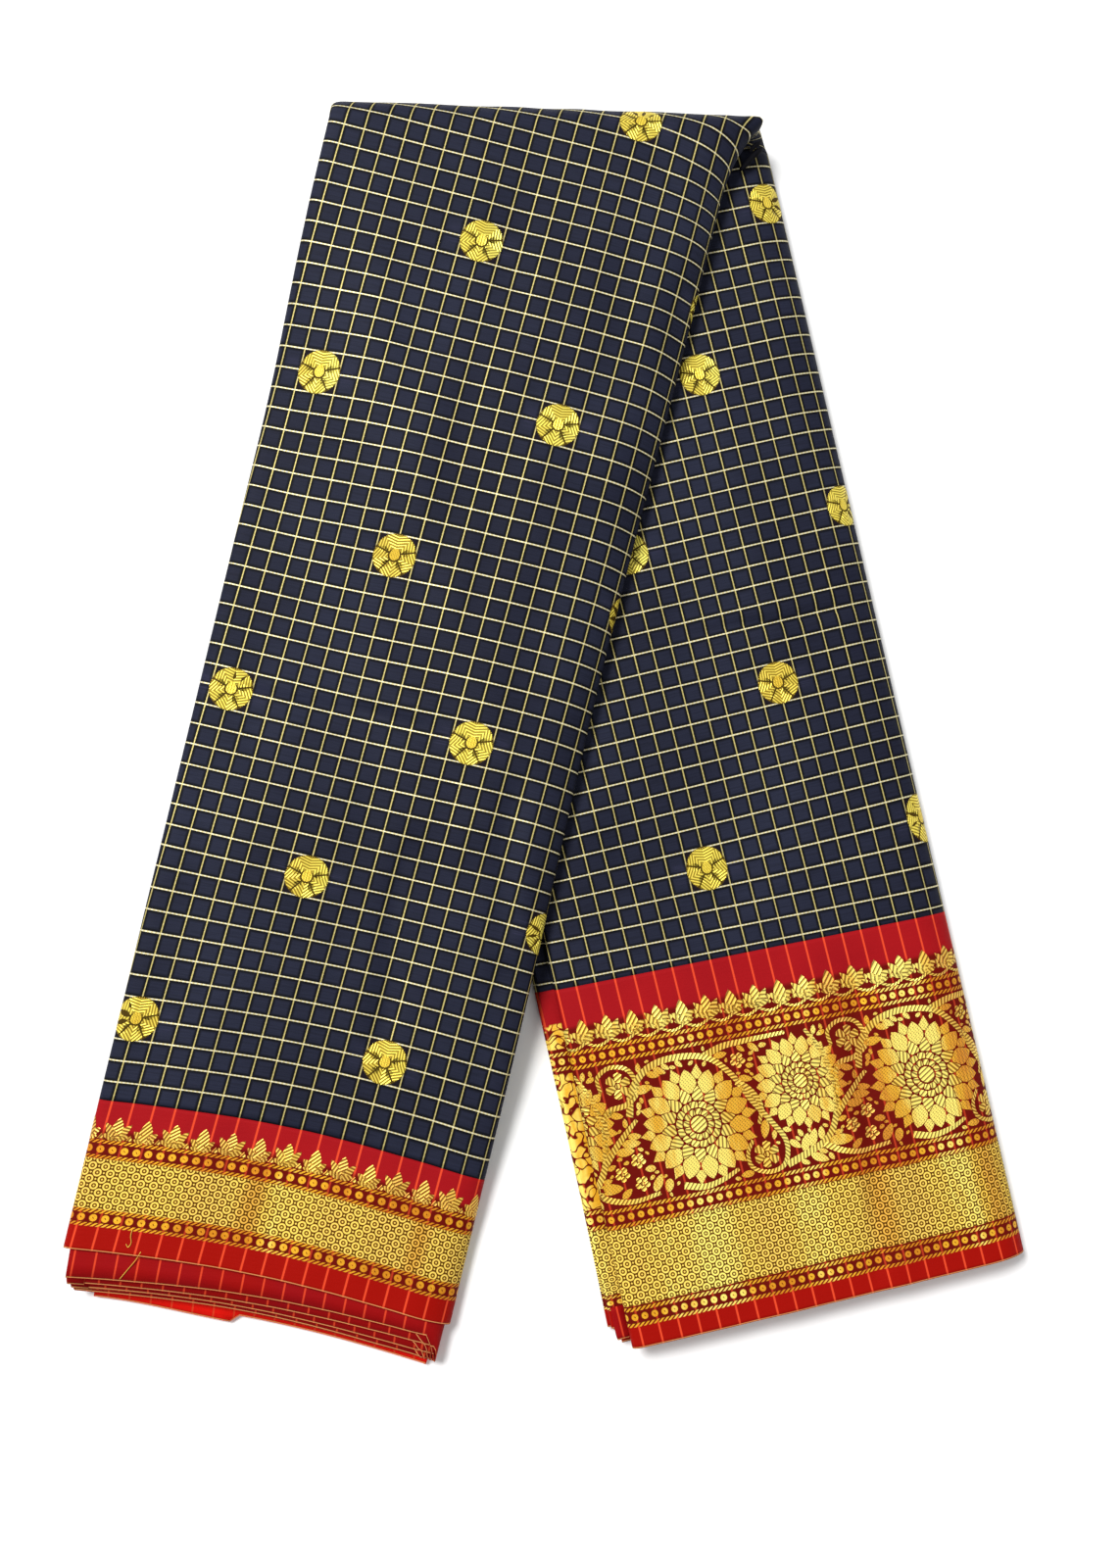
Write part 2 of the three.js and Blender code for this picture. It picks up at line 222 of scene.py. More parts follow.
def ripple_height(x, y, turn):
    """Slow unevenness of pressed silk, longer along the leg than across it."""
    c, s = math.cos(turn), math.sin(turn)
    p, q = x * c - y * s, x * s + y * c
    height = 0.16 * np.sin(p / 8.1 + 1.3 * np.sin(q / 61.0)) * np.sin(q / 47.0 + p / 90.0)
    height += 0.10 * np.sin(p / 4.3 + 2.1 * np.sin(q / 37.0) + 1.0) * np.sin(q / 26.0 + 2.0)
    height += 0.05 * np.sin(q / 5.7 + 1.7 * np.sin(p / 19.0)) * np.sin(p / 33.0 + q / 71.0)
    return height


# A section is drawn as a path: a is across from the left edge, h is up from the underside


def row_of(first, last, count):
    return np.linspace(first, last, count)[None, :]


def as_columns(stations):
    """A leg's width at each station, and the sizes of its right edge, as columns."""
    return (np.reshape(x, (-1, 1)) for x in (stations.width, *stations.roll))


def upper_roll(width, roll, low, inset, turn):
    """The rounded right edge, from the upper face down to its widest point."""
    return width - roll + (roll - inset) * np.sin(turn), low + (PACK - low - inset) * np.cos(turn)


def lower_roll(width, roll, low, inset, bottom, turn):
    """The right edge, from its widest point on to the underside."""
    return width - roll + (roll - inset) * np.cos(turn), low - (low - bottom) * np.sin(turn)


def joined(stations, *parts):
    """One path, with a row for each station, from parts that each give a and h."""
    rows = len(stations.width)
    sides = [[np.broadcast_to(side, (rows, np.shape(a)[1])) for side in (a, h)] for a, h in parts]
    return [np.concatenate(side, axis=1) for side in zip(*sides)]


def section(stations, inset):
    """The outer path of a leg: lip, upper face, roll and underside."""
    width, roll_top, roll_bottom, low = as_columns(stations)
    turn = row_of(-np.pi / 2, np.pi / 2, LIP_POINTS + 1)[:, :-1]
    lip_a = LIP_WIDE - (LIP_WIDE - inset) * np.cos(turn) ** LIP_ROUND
    lip_h = np.sign(np.sin(turn)) * np.abs(np.sin(turn)) ** LIP_ROUND
    lip_h = HALF + HALF / 2 + LIP_GAP + (HALF / 2 - LIP_GAP - inset) * lip_h
    face_a = lerp(LIP_WIDE, width - roll_top, row_of(0, 1, FACE_POINTS + 1)[:, :-1])
    turn = row_of(0, np.pi / 2, ROLL_POINTS + 1)[:, :-1]
    upper = upper_roll(width, roll_top, low, inset, turn)
    turn = row_of(0, np.pi / 2, ROLL_POINTS // 2 + 1)[:, :-1]
    lower = lower_roll(width, roll_bottom, low, inset, inset, turn)
    end = UNDER_END[stations.leg] - stations.out[:, None]
    under_a = lerp(width - roll_bottom, end, row_of(0, 1, BOTTOM_POINTS))
    return joined(stations, (lip_a, lip_h), (face_a, PACK - inset), upper, lower, (under_a, inset))


def path_length(a, h):
    """Length along a section, counted so that it equals a on the upper face."""
    steps = np.hypot(np.diff(a, axis=1), np.diff(h, axis=1))
    length = np.concatenate([np.zeros((len(a), 1)), np.cumsum(steps, axis=1)], axis=1)
    return length - length[:, LIP_POINTS:LIP_POINTS + 1] + LIP_WIDE


# The upper right corner: the fold ends in a small pointed ear, pinched in just below it
EAR = ((92.5, 320.5, 25.5), (5.0, 2.4, 1.2), 5.2)  # place, pull, reach
EAR_PINCH = ((97.0, 312.5, 20.0), (-3.4, 0.2, -0.8), 3.4)


def pull_corner(points):
    for place, pull, reach in (EAR, EAR_PINCH):
        away = np.linalg.norm(points - np.array(place), axis=-1) / reach
        points = points + np.array(pull) * bell(away)[..., None]
    return points


class Stations:
    """Lines across a leg, where its section is set up: their ends in plan, and how they are placed."""

    def __init__(self, leg, y_left, y_right, v):
        self.leg = leg
        left, right = EDGES[leg]
        self.start = np.stack([left(y_left), y_left], axis=1)
        self.end = np.stack([right(y_right), y_right], axis=1)
        self.v = v[:, None]
        self.width = np.hypot(*(self.end - self.start).T)
        self.roll = [np.full(len(v), size) for size in (ROLL_WIDE, ROLL_TIGHT, ROLL_LOW)]
        self.out = LOWER_OUT * smooth((v - 0.3) / 0.35) * (leg == "back")

    def place(self, a, h, arc):
        """Points in space, and the flat place of each in plan once the cloth is unrolled."""
        u = a / self.width[:, None]
        x = lerp(self.start[:, :1], self.end[:, :1], u)
        y = lerp(self.start[:, 1:], self.end[:, 1:], u)
        rise = relief(u, self.v) * (h / PACK) ** 2
        base = 0.0
        if self.leg == "front":
            y = y + ARCH * np.sin(np.pi * np.clip(u, 0, 1)) * smooth(self.v / 0.5)
            base = underside(x, y)
        creases, turn = CREASES[self.leg]
        fine = crease_height(x, y, creases) + ripple_height(x, y, turn)
        fine = fine * smooth((h / PACK - 0.25) / 0.6) * smooth(self.v / 0.03)
        direction = (self.end - self.start) / self.width[:, None]
        flat = np.stack([x, y], axis=-1) + (arc - a)[..., None] * direction[:, None]
        points = np.stack([x, y, base + (h + rise) + fine], axis=-1)
        return (pull_corner(points) if self.leg == "front" else points), flat


class FoldStations:
    """Half-planes round the fold at the top, from the floor side up and over to the front leg."""

    leg = "front"

    def __init__(self, steps):
        angle = np.linspace(np.pi, 0, steps + 1)[:-1]
        self.angle = angle[:, None]
        share = angle / np.pi
        self.left = lerp(front_left(FOLD_Y), back_left(FOLD_Y), share)
        self.width = lerp(front_right(FOLD_Y), back_right(FOLD_Y), share) - self.left
        self.roll = (
            lerp(ROLL_WIDE, ROLL_TIGHT, share),
            lerp(ROLL_TIGHT, ROLL_WIDE, share),
            lerp(ROLL_LOW, PACK - ROLL_LOW, share),
        )
        self.v = np.zeros((steps, 1))
        self.out = np.zeros(steps)

    def place(self, a, h, arc):
        radius = FOLD_BORE + h
        x = self.left[:, None] + a
        pucker = 0.5 * np.sin(x / 6.5 + 1.2 * np.sin(x / 23.0)) * np.sin(self.angle) ** 2 * (h / PACK)
        y = FOLD_Y + np.sin(self.angle) * FOLD_DEPTH * (radius + pucker)
        z = FOLD_AXIS_Z + np.cos(self.angle) * radius
        around = self.angle * (FOLD_BORE + PACK) * (1 + FOLD_DEPTH) / 2
        flat = np.stack([x + arc - a, FOLD_Y + around + 0 * x], axis=-1)
        return pull_corner(np.stack([x, y, z], axis=-1)), flat


def weave_place(stations, flat, arc):
    """Column and row number of the check at a flat place in plan."""
    weave = WEAVE[stations.leg]
    inverse = np.linalg.inv(np.array([weave["across"], weave["along"]]).T)
    x = flat[..., 0] - weave["flower"][0]
    y = flat[..., 1] - weave["flower"][1]
    column = inverse[0, 0] * x + inverse[0, 1] * y
    row = inverse[1, 0] * x + inverse[1, 1] * y
    if stations.leg == "front":
        # rows are dragged down where the cloth turns over the right edge, most at the corner
        width = stations.width[:, None]
        by_edge, by_corner = (
            drag * np.clip((arc - (width - strip)) / strip, 0, limit) ** 2
            for strip, limit, drag in (EDGE_DRAG, CORNER_DRAG)
        )
        corner = bell((FOLD_Y - flat[..., 1]) / CORNER_DRAG_LENGTH)
        row = row - (by_edge + by_corner * corner) / CHECK[1]
    return column, row


def weave_at(stations, flat, arc, border):
    """Where each point lies in the weave: in checks, or in a border in millimetres across and down it."""
    leg, v = stations.leg, stations.v
    column, row = weave_place(stations, flat, arc)
    seam_v = SEAM_V[leg]
    if border:
        column = column * CHECK[0]
        row = (v - seam_v) / (1 - seam_v) * BORDER_DEPTH[leg] + 0 * column
    else:
        # rows run straight across a leg, and come parallel to the seam as they near it
        length = (FOLD_Y - HEM[leg][0]) * ROW_STRETCH[leg]
        to_seam = SEAM_ROW[leg] - (seam_v - v) * length / CHECK[1]
        row = lerp(row, to_seam, smooth((v - seam_v + SEAM_BLEND[leg]) / SEAM_BLEND[leg]))
    return np.stack([column, row], axis=-1)


class Sheet:
    """Woven cloth as a grid of outer points, inner points and weave coordinates."""

    def __init__(self, outer, inner, weave):
        self.outer, self.inner, self.weave = outer, inner, weave
        normal = outer - inner
        self.normal = normal / np.linalg.norm(normal, axis=-1, keepdims=True)

    @staticmethod
    def _blend(grid, rc):
        r0 = np.clip(np.floor(rc[:, 0]).astype(int), 0, grid.shape[0] - 2)
        c0 = np.clip(np.floor(rc[:, 1]).astype(int), 0, grid.shape[1] - 2)
        fr = (rc[:, 0] - r0)[:, None]
        fc = (rc[:, 1] - c0)[:, None]
        g00, g01 = grid[r0, c0], grid[r0, c0 + 1]
        g10, g11 = grid[r0 + 1, c0], grid[r0 + 1, c0 + 1]
        value = lerp(lerp(g00, g01, fc), lerp(g10, g11, fc), fr)
        return value, lerp(g10 - g00, g11 - g01, fc), lerp(g01 - g00, g11 - g10, fr)

    def find(self, targets):
        """Grid places of weave coordinates, and whether all of them lie on this sheet."""
        gap = ((self.weave - targets.mean(axis=0)) ** 2).sum(axis=-1)
        rc = np.tile(np.unravel_index(gap.argmin(), gap.shape), (len(targets), 1)).astype(float)
        for _ in range(PLACE_ROUNDS):
            value, by_row, by_column = self._blend(self.weave, rc)
            miss = targets - value
            det = by_row[:, 0] * by_column[:, 1] - by_row[:, 1] * by_column[:, 0]
            det = np.where(np.abs(det) < 1e-9, 1e-9, det)
            rc[:, 0] += (miss[:, 0] * by_column[:, 1] - miss[:, 1] * by_column[:, 0]) / det
            rc[:, 1] += (miss[:, 1] * by_row[:, 0] - miss[:, 0] * by_row[:, 1]) / det
            rc[:, 0] = np.clip(rc[:, 0], 0, self.weave.shape[0] - 1)
            rc[:, 1] = np.clip(rc[:, 1], 0, self.weave.shape[1] - 1)
        value, _, _ = self._blend(self.weave, rc)
        scale = np.abs(self.weave).max() / 1000
        return rc, bool(np.abs(targets - value).max() < 0.01 + 0.1 * scale)

    def lay(self, targets, lift):
        """Points just above the cloth at weave coordinates, or None if any falls off the sheet."""
        rc, on_sheet = self.find(targets)
        if not on_sheet:
            return None
        point, _, _ = self._blend(self.outer, rc)
        normal, _, _ = self._blend(self.normal, rc)
        return point + normal / np.linalg.norm(normal, axis=1, keepdims=True) * lift


def metres(points):
    moved = np.array(points, dtype=float)
    moved[..., 0] -= PLAN_MIDDLE[0]
    moved[..., 1] -= PLAN_MIDDLE[1]
    return moved / 1000


def new_object(name, vertices, faces, material):
    mesh = bpy.data.meshes.new(name)
    mesh.from_pydata([tuple(p) for p in metres(vertices)], [], faces)
    mesh.update()
    mesh.polygons.foreach_set("use_smooth", [True] * len(mesh.polygons))
    obj = bpy.data.objects.new(name, mesh)
    bpy.context.scene.collection.objects.link(obj)
    mesh.materials.append(material)
    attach(obj, "root")
    return obj


def add_uv(mesh, name, per_vertex):
    layer = mesh.uv_layers.new(name=name)
    corners = np.empty(len(mesh.loops), dtype=np.int32)
    mesh.loops.foreach_get("vertex_index", corners)
    layer.data.foreach_set("uv", np.asarray(per_vertex, dtype=np.float32)[corners].ravel())


def grid_faces(rows, columns, offset=0, flip=False):
    index = np.arange(rows * columns).reshape(rows, columns) + offset
    corners = [index[:-1, :-1], index[:-1, 1:], index[1:, 1:], index[1:, :-1]]
    if flip:
        corners.reverse()
    return np.stack(corners, axis=-1).reshape(-1, 4).tolist()


def shell_faces(rows, columns):
    """Faces of a thin closed shell: outer grid, inner grid and the rim that joins them."""
    inner = rows * columns
    faces = grid_faces(rows, columns) + grid_faces(rows, columns, inner, flip=True)
    index = np.arange(rows * columns).reshape(rows, columns)
    rim = np.concatenate([index[0, :-1], index[:-1, -1], index[-1, :0:-1], index[:0:-1, 0]])
    following = np.roll(rim, -1)
    faces += np.stack([following, rim, rim + inner, following + inner], axis=-1).tolist()
    return faces


def cloth_area(grid):
    """Area of a grid of points, in square metres."""
    across = grid[1:, 1:] - grid[:-1, :-1]
    along = grid[1:, :-1] - grid[:-1, 1:]
    return float(np.linalg.norm(np.cross(across, along), axis=-1).sum() / 2) / 1e6


def run_along(curve):
    """Length from a curve's start to each of its points."""
    return np.concatenate([[0], np.cumsum(np.linalg.norm(np.diff(curve, axis=0), axis=1))])


def tube_faces(rings, sides, start=0):
    """Faces of a closed tube: rings of points, joined all round and capped at both ends."""
    index = np.arange(rings * sides).reshape(rings, sides) + start
    following = np.roll(index, -1, axis=1)
    faces = np.stack([index[:-1], following[:-1], following[1:], index[1:]], axis=-1)
    return faces.reshape(-1, 4).tolist() + [index[0, ::-1].tolist(), index[-1].tolist()]


class Bundle:
    """Thin closed sheets that make one object."""

    def __init__(self):
        self.points, self.faces, self.weaves, self.tones = [], [], [], []
        self.area = 0.0

    def add(self, outer, inner, weave, tone=None):
        start = sum(len(p) for p in self.points)
        self.points += [outer.reshape(-1, 3), inner.reshape(-1, 3)]
        self.faces += [[i + start for i in face] for face in shell_faces(*outer.shape[:2])]
        self.weaves += [weave.reshape(-1, 2)] * 2
        if tone is not None:
            self.tones += [np.stack([tone.ravel()] * 2, axis=1)] * 2
        self.area += cloth_area(outer)

    def make(self, name, material, slot, replaced, length):
        """Makes the object. length is that of its cloth along the leg, and is not used."""
        obj = new_object(name, np.concatenate(self.points), self.faces, material)
        add_uv(obj.data, "weave", np.concatenate(self.weaves))
        if self.tones:
            add_uv(obj.data, "tone", np.concatenate(self.tones))
        if replaced:
            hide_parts(*replaced)
        length = length / 1000


def make_cover(name, sheet, material, slot, replaced):
    bundle = Bundle()
    bundle.add(sheet.outer, sheet.inner, sheet.weave)
    along = sheet.outer[:, sheet.outer.shape[1] // 3]
    bundle.make(name, material, slot, replaced, float(run_along(along)[-1]))


def leg_sheet(stations_list, border=False):
    """Cloth over one stretch of a leg."""
    grids = []
    for stations in stations_list:
        a, h = section(stations, 0.0)
        arc = path_length(a, h)
        outer, flat = stations.place(a, h, arc)
        inner, _ = stations.place(*section(stations, CLOTH), arc)
        grids.append((outer, inner, weave_at(stations, flat, arc, border)))
    return Sheet(*(np.concatenate(grid) for grid in zip(*grids)))


def stretch(leg, count, top, bottom, v):
    """Stations between two lines across a leg. A line is y at the left edge and at the right."""
    t = np.linspace(0, 1, count)
    return Stations(leg, *(lerp(first, last, t) for first, last in (*zip(top, bottom), v)))


def from_fold(leg, count, bottom, end_v, fold_steps):
    """Stations from the top of a leg down. Those of the front leg begin round the fold."""
    straight = stretch(leg, count, TOP[leg], bottom, (0, end_v))
    return [FoldStations(fold_steps), straight] if leg == "front" else [straight]


def field_stations(leg):
    return from_fold(leg, FIELD_STEPS, SEAM[leg], SEAM_V[leg], FOLD_STEPS)


def border_stations(leg):
    return [stretch(leg, BORDER_STEPS[leg], SEAM[leg], HEM[leg], (SEAM_V[leg], 1))]


# Materials


def feed(tree, value, socket):
    """Gives a socket a value, another socket's output, a colour or a number."""
    value = value.socket if isinstance(value, Value) else value
    if isinstance(value, bpy.types.NodeSocket):
        tree.links.new(value, socket)
    else:
        socket.default_value = (*value, 1.0) if isinstance(value, tuple) else value


def math_method(operation):
    return lambda value, *others: value.math(operation, *others)


class Value:
    """A number in a material's node tree, with arithmetic that adds Math nodes."""

    __add__ = math_method("ADD")
    __sub__ = math_method("SUBTRACT")
    __mul__ = math_method("MULTIPLY")
    __truediv__ = math_method("DIVIDE")
    larger = math_method("MAXIMUM")
    sine = math_method("SINE")
    absolute = math_method("ABSOLUTE")
    fraction = math_method("FRACT")
    root = math_method("SQRT")

    def __init__(self, tree, socket):
        self.tree, self.socket = tree, socket

    def math(self, operation, *others):
        node = self.tree.nodes.new("ShaderNodeMath")
        node.operation = operation
        for value, socket in zip((self, *others), node.inputs):
            feed(self.tree, value, socket)
        return Value(self.tree, node.outputs[0])

    def hypot(self, other):
        return (self * self + other * other).root()

    def wave(self):
        """A sine between 0 and 1."""
        return self.sine() * 0.5 + 0.5

    def distance_to_whole(self):
        """Distance to the nearest whole number, from 0 to a half."""
        return ((self + 0.5).fraction() - 0.5).absolute()

    def repeat(self, pitch, shift=0.0):
        """Distance from the middle of the repeat that it falls in, with its sign."""
        return ((self / pitch + shift).fraction() - 0.5) * pitch

    def ramp(self, low, high):
        """Rises smoothly from 0 at low to 1 at high. low may be the larger."""
        node = self.tree.nodes.new("ShaderNodeMapRange")
        node.interpolation_type = "SMOOTHSTEP"
        ends = (low, high, 0.0, 1.0) if low < high else (high, low, 1.0, 0.0)
        for name, value in zip(("Value", "From Min", "From Max", "To Min", "To Max"), (self, *ends)):
            feed(self.tree, value, node.inputs[name])
        return Value(self.tree, node.outputs["Result"])

    def band(self, low, high, soft=0.25):
        """1 between two values and 0 outside them."""
        return self.ramp(low - soft, low + soft) * self.ramp(high + soft, high - soft)


def largest(values):
    result = values[0]
    for value in values[1:]:
        result = result.larger(value)
    return result


class Recipe:
    """A material under construction."""

    def __init__(self, name):
        self.material = bpy.data.materials.new(name)
        self.material.use_nodes = True
        self.tree = self.material.node_tree
        self.shader = self.tree.nodes["Principled BSDF"]

    def node(self, kind, **inputs):
        """A new node, and what its inputs are fed."""
        node = self.tree.nodes.new("ShaderNode" + kind)
        for name, value in inputs.items():
            feed(self.tree, value, node.inputs[name])
        return node

    def uv(self, layer):
        node = self.node("UVMap")
        node.uv_map = layer
        split = self.node("SeparateXYZ", Vector=node.outputs["UV"])
        return Value(self.tree, split.outputs["X"]), Value(self.tree, split.outputs["Y"])

    def noise(self, x, y, scale, detail=2.0, stretch=1.0):
        place = self.node("CombineXYZ", X=x * stretch, Y=y)
        node = self.node("TexNoise", Vector=place.outputs[0], Scale=scale, Detail=detail)
        node.noise_dimensions = "2D"
        return Value(self.tree, node.outputs["Fac"])

    def object_noise(self, scale):
        place = self.node("TexCoord").outputs["Object"]
        return Value(self.tree, self.node("TexNoise", Vector=place, Scale=scale, Detail=3.0).outputs["Fac"])

    def mix(self, share, first, second):
        node = self.node("Mix")
        node.data_type = "RGBA"
        for name, value in (("Factor", share), ("A", first), ("B", second)):
            feed(self.tree, value, node.inputs[name])
        return node.outputs["Result"]

    def surface(self, colour, roughness, specular=0.5, metallic=0.0):
        values = (colour, roughness, specular, metallic)
        for name, value in zip(("Base Color", "Roughness", "Specular IOR Level", "Metallic"), values):
            feed(self.tree, value, self.shader.inputs[name])

    def bump(self, height, distance):
        node = self.node("Bump", Strength=1.0, Distance=distance, Height=height)
        self.tree.links.new(node.outputs["Normal"], self.shader.inputs["Normal"])

    def silk_bump(self, x, y, weave, grain, raised, distance):
        """A fine plain weave of uneven threads, and what is raised on it."""
        turn = 2 * math.pi / SILK_THREAD
        threads = (x * turn).sine() * (y * turn).sine() * weave
        uneven = (self.noise(x, y, 0.8, stretch=0.25) - 0.5) * grain
        self.bump(threads + uneven + raised, distance)


NAVY = (0.012, 0.0135, 0.027)
NAVY_LIT = (0.019, 0.022, 0.042)
NAVY_SHADE = (0.0015, 0.0013, 0.0012)
CHECK_GOLD = (0.62, 0.53, 0.24)
CHECK_PALE = (0.76, 0.72, 0.52)
CHECK_DULL = (0.50, 0.42, 0.13)
RED = (0.38, 0.008, 0.010)
RED_DEEP = (0.25, 0.004, 0.008)
SELVEDGE_RED = (0.31, 0.004, 0.0015)
BRIGHT_RED = (0.80, 0.010, 0.005)
LINE_RED = (0.80, 0.075, 0.025)
THREAD_PALE = (1.0, 0.45, 0.16)
ZARI = (0.80, 0.41, 0.024)
ZARI_PALE = (1.0, 0.82, 0.17)
ZARI_ORANGE = (0.64, 0.24, 0.015)
ZARI_SHADES = (ZARI, ZARI_PALE, ZARI_ORANGE, (0.12, 0.045, 0.002))  # plain, pale, orange, groove: pale is painted sheen, orange painted shade where the sheen is lost, groove painted shade in the satin's grooves and the dotted weave's dark specks
FLOWER_SHADES = ((0.88, 0.66, 0.060), (1.0, 0.90, 0.16), (0.76, 0.50, 0.035), (0.15, 0.10, 0.003))
FLOAT_PALE = (0.036, 0.036, 0.075)
FLOAT_DARK = (0.008, 0.004, 0.006)
BROWN = (0.085, 0.030, 0.001)
OLIVE = (0.060, 0.034, 0.002)
MAROON = (0.10, 0.004, 0.001)
SILK_THREAD = 0.55  # millimetres for one repeat of the plain weave
COLUMN_LINE, ROW_LINE = (0.40, 0.18), (0.43, 0.20)  # half widths of the gold lines: outside, inside
TWIST = 3.3  # radians in each millimetre: a gold thread turns from light to dark along its length, painted glints of its twist
RING_PITCH = (5.8, 6.2)  # of one set of rings, across and down; the other set is half-way


def flower_ground(u, v):
    """Millimetres from the nearest flower's middle, across and along the cloth, for both sets of flowers."""
    for shift in (0.0, 0.5):
        across = (u * (1 / FLOWER_STEP[0]) + shift).distance_to_whole() * (FLOWER_STEP[0] * CHECK[0])
        along = (v * (1 / FLOWER_STEP[1]) + shift).distance_to_whole() * (FLOWER_STEP[1] * CHECK[1])
        yield across, along


def field_material(name, flower_colour):
    """Navy silk with a grid of gold threads. flower_colour lies under the woven flowers."""
    recipe = Recipe(name)
    u, v = recipe.uv("weave")
    x, y = u * CHECK[0], v * CHECK[1]
    wander = (recipe.noise(x, y, 0.09) - 0.5) * 0.5
    from_column = (u.distance_to_whole() * CHECK[0] + wander * 0.25).absolute()
    from_row = (v.distance_to_whole() * CHECK[1] + wander * 0.3).absolute()
    column = from_column.ramp(*COLUMN_LINE)
    row = from_row.ramp(*ROW_LINE)
    cloud = recipe.noise(x, y, 0.012, 3.0)
    base = recipe.mix(cloud.ramp(0.2, 0.85), NAVY, NAVY_LIT)
    streaks = recipe.noise(x, y, 1.6, stretch=0.04).ramp(0.35, 0.8)
    base = recipe.mix(streaks * 0.25, base, NAVY_SHADE)
    # painted shade: the navy darkened on both sides of each gold line
    shade_beside_lines = from_column.ramp(2.1, 0.75).larger(from_row.ramp(2.2, 0.80))
    base = recipe.mix(shade_beside_lines * 0.85, base, NAVY_SHADE)
    discs = []
    for across, along in flower_ground(u, v):
        floats = across.band(10.0, 16.5, 2.0) * along.ramp(7.0, 3.0)
        base = recipe.mix(floats * streaks * 0.5, base, FLOAT_PALE)
        square = across.ramp(9.9, 9.3) * along.ramp(9.9, 9.3)
        base = recipe.mix(square * 0.75, base, FLOAT_DARK)
        discs.append(across.hypot(along).ramp(FLOWER_RADIUS + 0.1, FLOWER_RADIUS - 0.3))
    # painted glints: each twisted gold thread, in rows and in columns, turns light and dark along its length
    twist_glints = (x * TWIST + v.distance_to_whole() * 9.0).wave()
    row_tone = recipe.mix(twist_glints, CHECK_GOLD, CHECK_PALE)
    column_tone = recipe.mix((y * TWIST).wave() * 0.6, CHECK_DULL, CHECK_GOLD)
    base = recipe.mix(column * 0.95, base, column_tone)
    base = recipe.mix(row, base, row_tone)
    base = recipe.mix(largest(discs), base, flower_colour)
    metal = column.larger(row)
    recipe.surface(base, (cloud * 0.1 + 0.5) - metal * 0.12, 0.06, metal * 0.35)
    recipe.silk_bump(x, y, 0.12, 0.5, metal * 0.7, 0.00016)
    return recipe.material


def painted_shade_at_turns(x, turns):
    """Painted shade: how far the gold is painted orange at x, where the cloth turns in a fold and loses its
    sheen, for each turn: middle, half width.
    """
    return [(x - middle).absolute().ramp(half, 0.0) for middle, half in turns]


def gold_with_painted_sheen(recipe, x, y, shades=ZARI_SHADES, warmth=0.0, turns=()):
    """Gold with painted sheen: it shifts between pale yellow where it catches the light and orange where it
    loses it, in broad soft bands, and is painted orange as shade at each turn.
    """
    plain, pale, orange, _ = shades
    band = recipe.noise(x, y * 0.10, 0.021, 1.0)
    fine = recipe.noise(x, y * 0.3, 0.30)
    level = band * 0.85 + fine * 0.15 + warmth
    # painted shade: the gold turns orange at each turn
    for turn in painted_shade_at_turns(x, turns):
        level = level + turn * 0.2
    # painted sheen and shade: orange where the level is high, pale where it is low
    tone = recipe.mix(level.ramp(0.50, 0.62), plain, orange)
    return recipe.mix(level.ramp(0.50, 0.38), tone, pale)


def ring_lattice(x, y):
    """Small rings, each with a dot, and lozenges between them: shares of gold and of outline."""
    golds, darks = [], []
    for shift in (0.0, 0.5):
        away = x.repeat(RING_PITCH[0], shift).hypot(y.repeat(RING_PITCH[1], shift))
        golds += [away.band(1.12, 1.90, 0.14), away.ramp(0.52, 0.32)]
        darks += [away.band(0.58, 1.00, 0.10), away.band(2.02, 2.62, 0.12)]
    for shift_x, shift_y in ((0.5, 0.0), (0.0, 0.5)):
        away = x.repeat(RING_PITCH[0], shift_x).absolute() + y.repeat(RING_PITCH[1], shift_y).absolute()
        golds.append(away.ramp(0.66, 0.46))
        darks.append(away.band(0.72, 1.15, 0.10))
    return largest(golds), largest(darks)


def scrolls(recipe, x, y):
    """Leafy scrolls for a narrow strip: rounded patches with dark gaps between them."""
    warp = recipe.noise(x, y, 0.12, 1.0) * 9.0
    return ((x * 0.62 + warp).sine() * (y * 0.55 - warp * 0.8).sine()).absolute().ramp(0.10, 0.24)


def rope(x, below):
    """A narrow twisted line along the border. below is the depth past its middle."""
    strands = (x * 2.6 + below * 3.4).wave().ramp(0.25, 0.6)
    return below.absolute().ramp(1.0, 0.75) * strands


def dots(x, below, pitch, radius):
    dx = x.repeat(pitch)
    heart = (dx * 1.6 - below).hypot(below * 0.9)
    return dx.hypot(below).ramp(radius, radius - 0.3) * heart.ramp(0.25, 0.5)


def column_stripe(x, outside, inside):
    """The thin line down each column of the check."""
    return ((x / CHECK[0]).distance_to_whole() * CHECK[0]).ramp(outside, inside)


def edge_thread(y, depth):
    """The pale thread along a selvedge."""
    return y.band(depth - 0.62, depth - 0.22, 0.1)


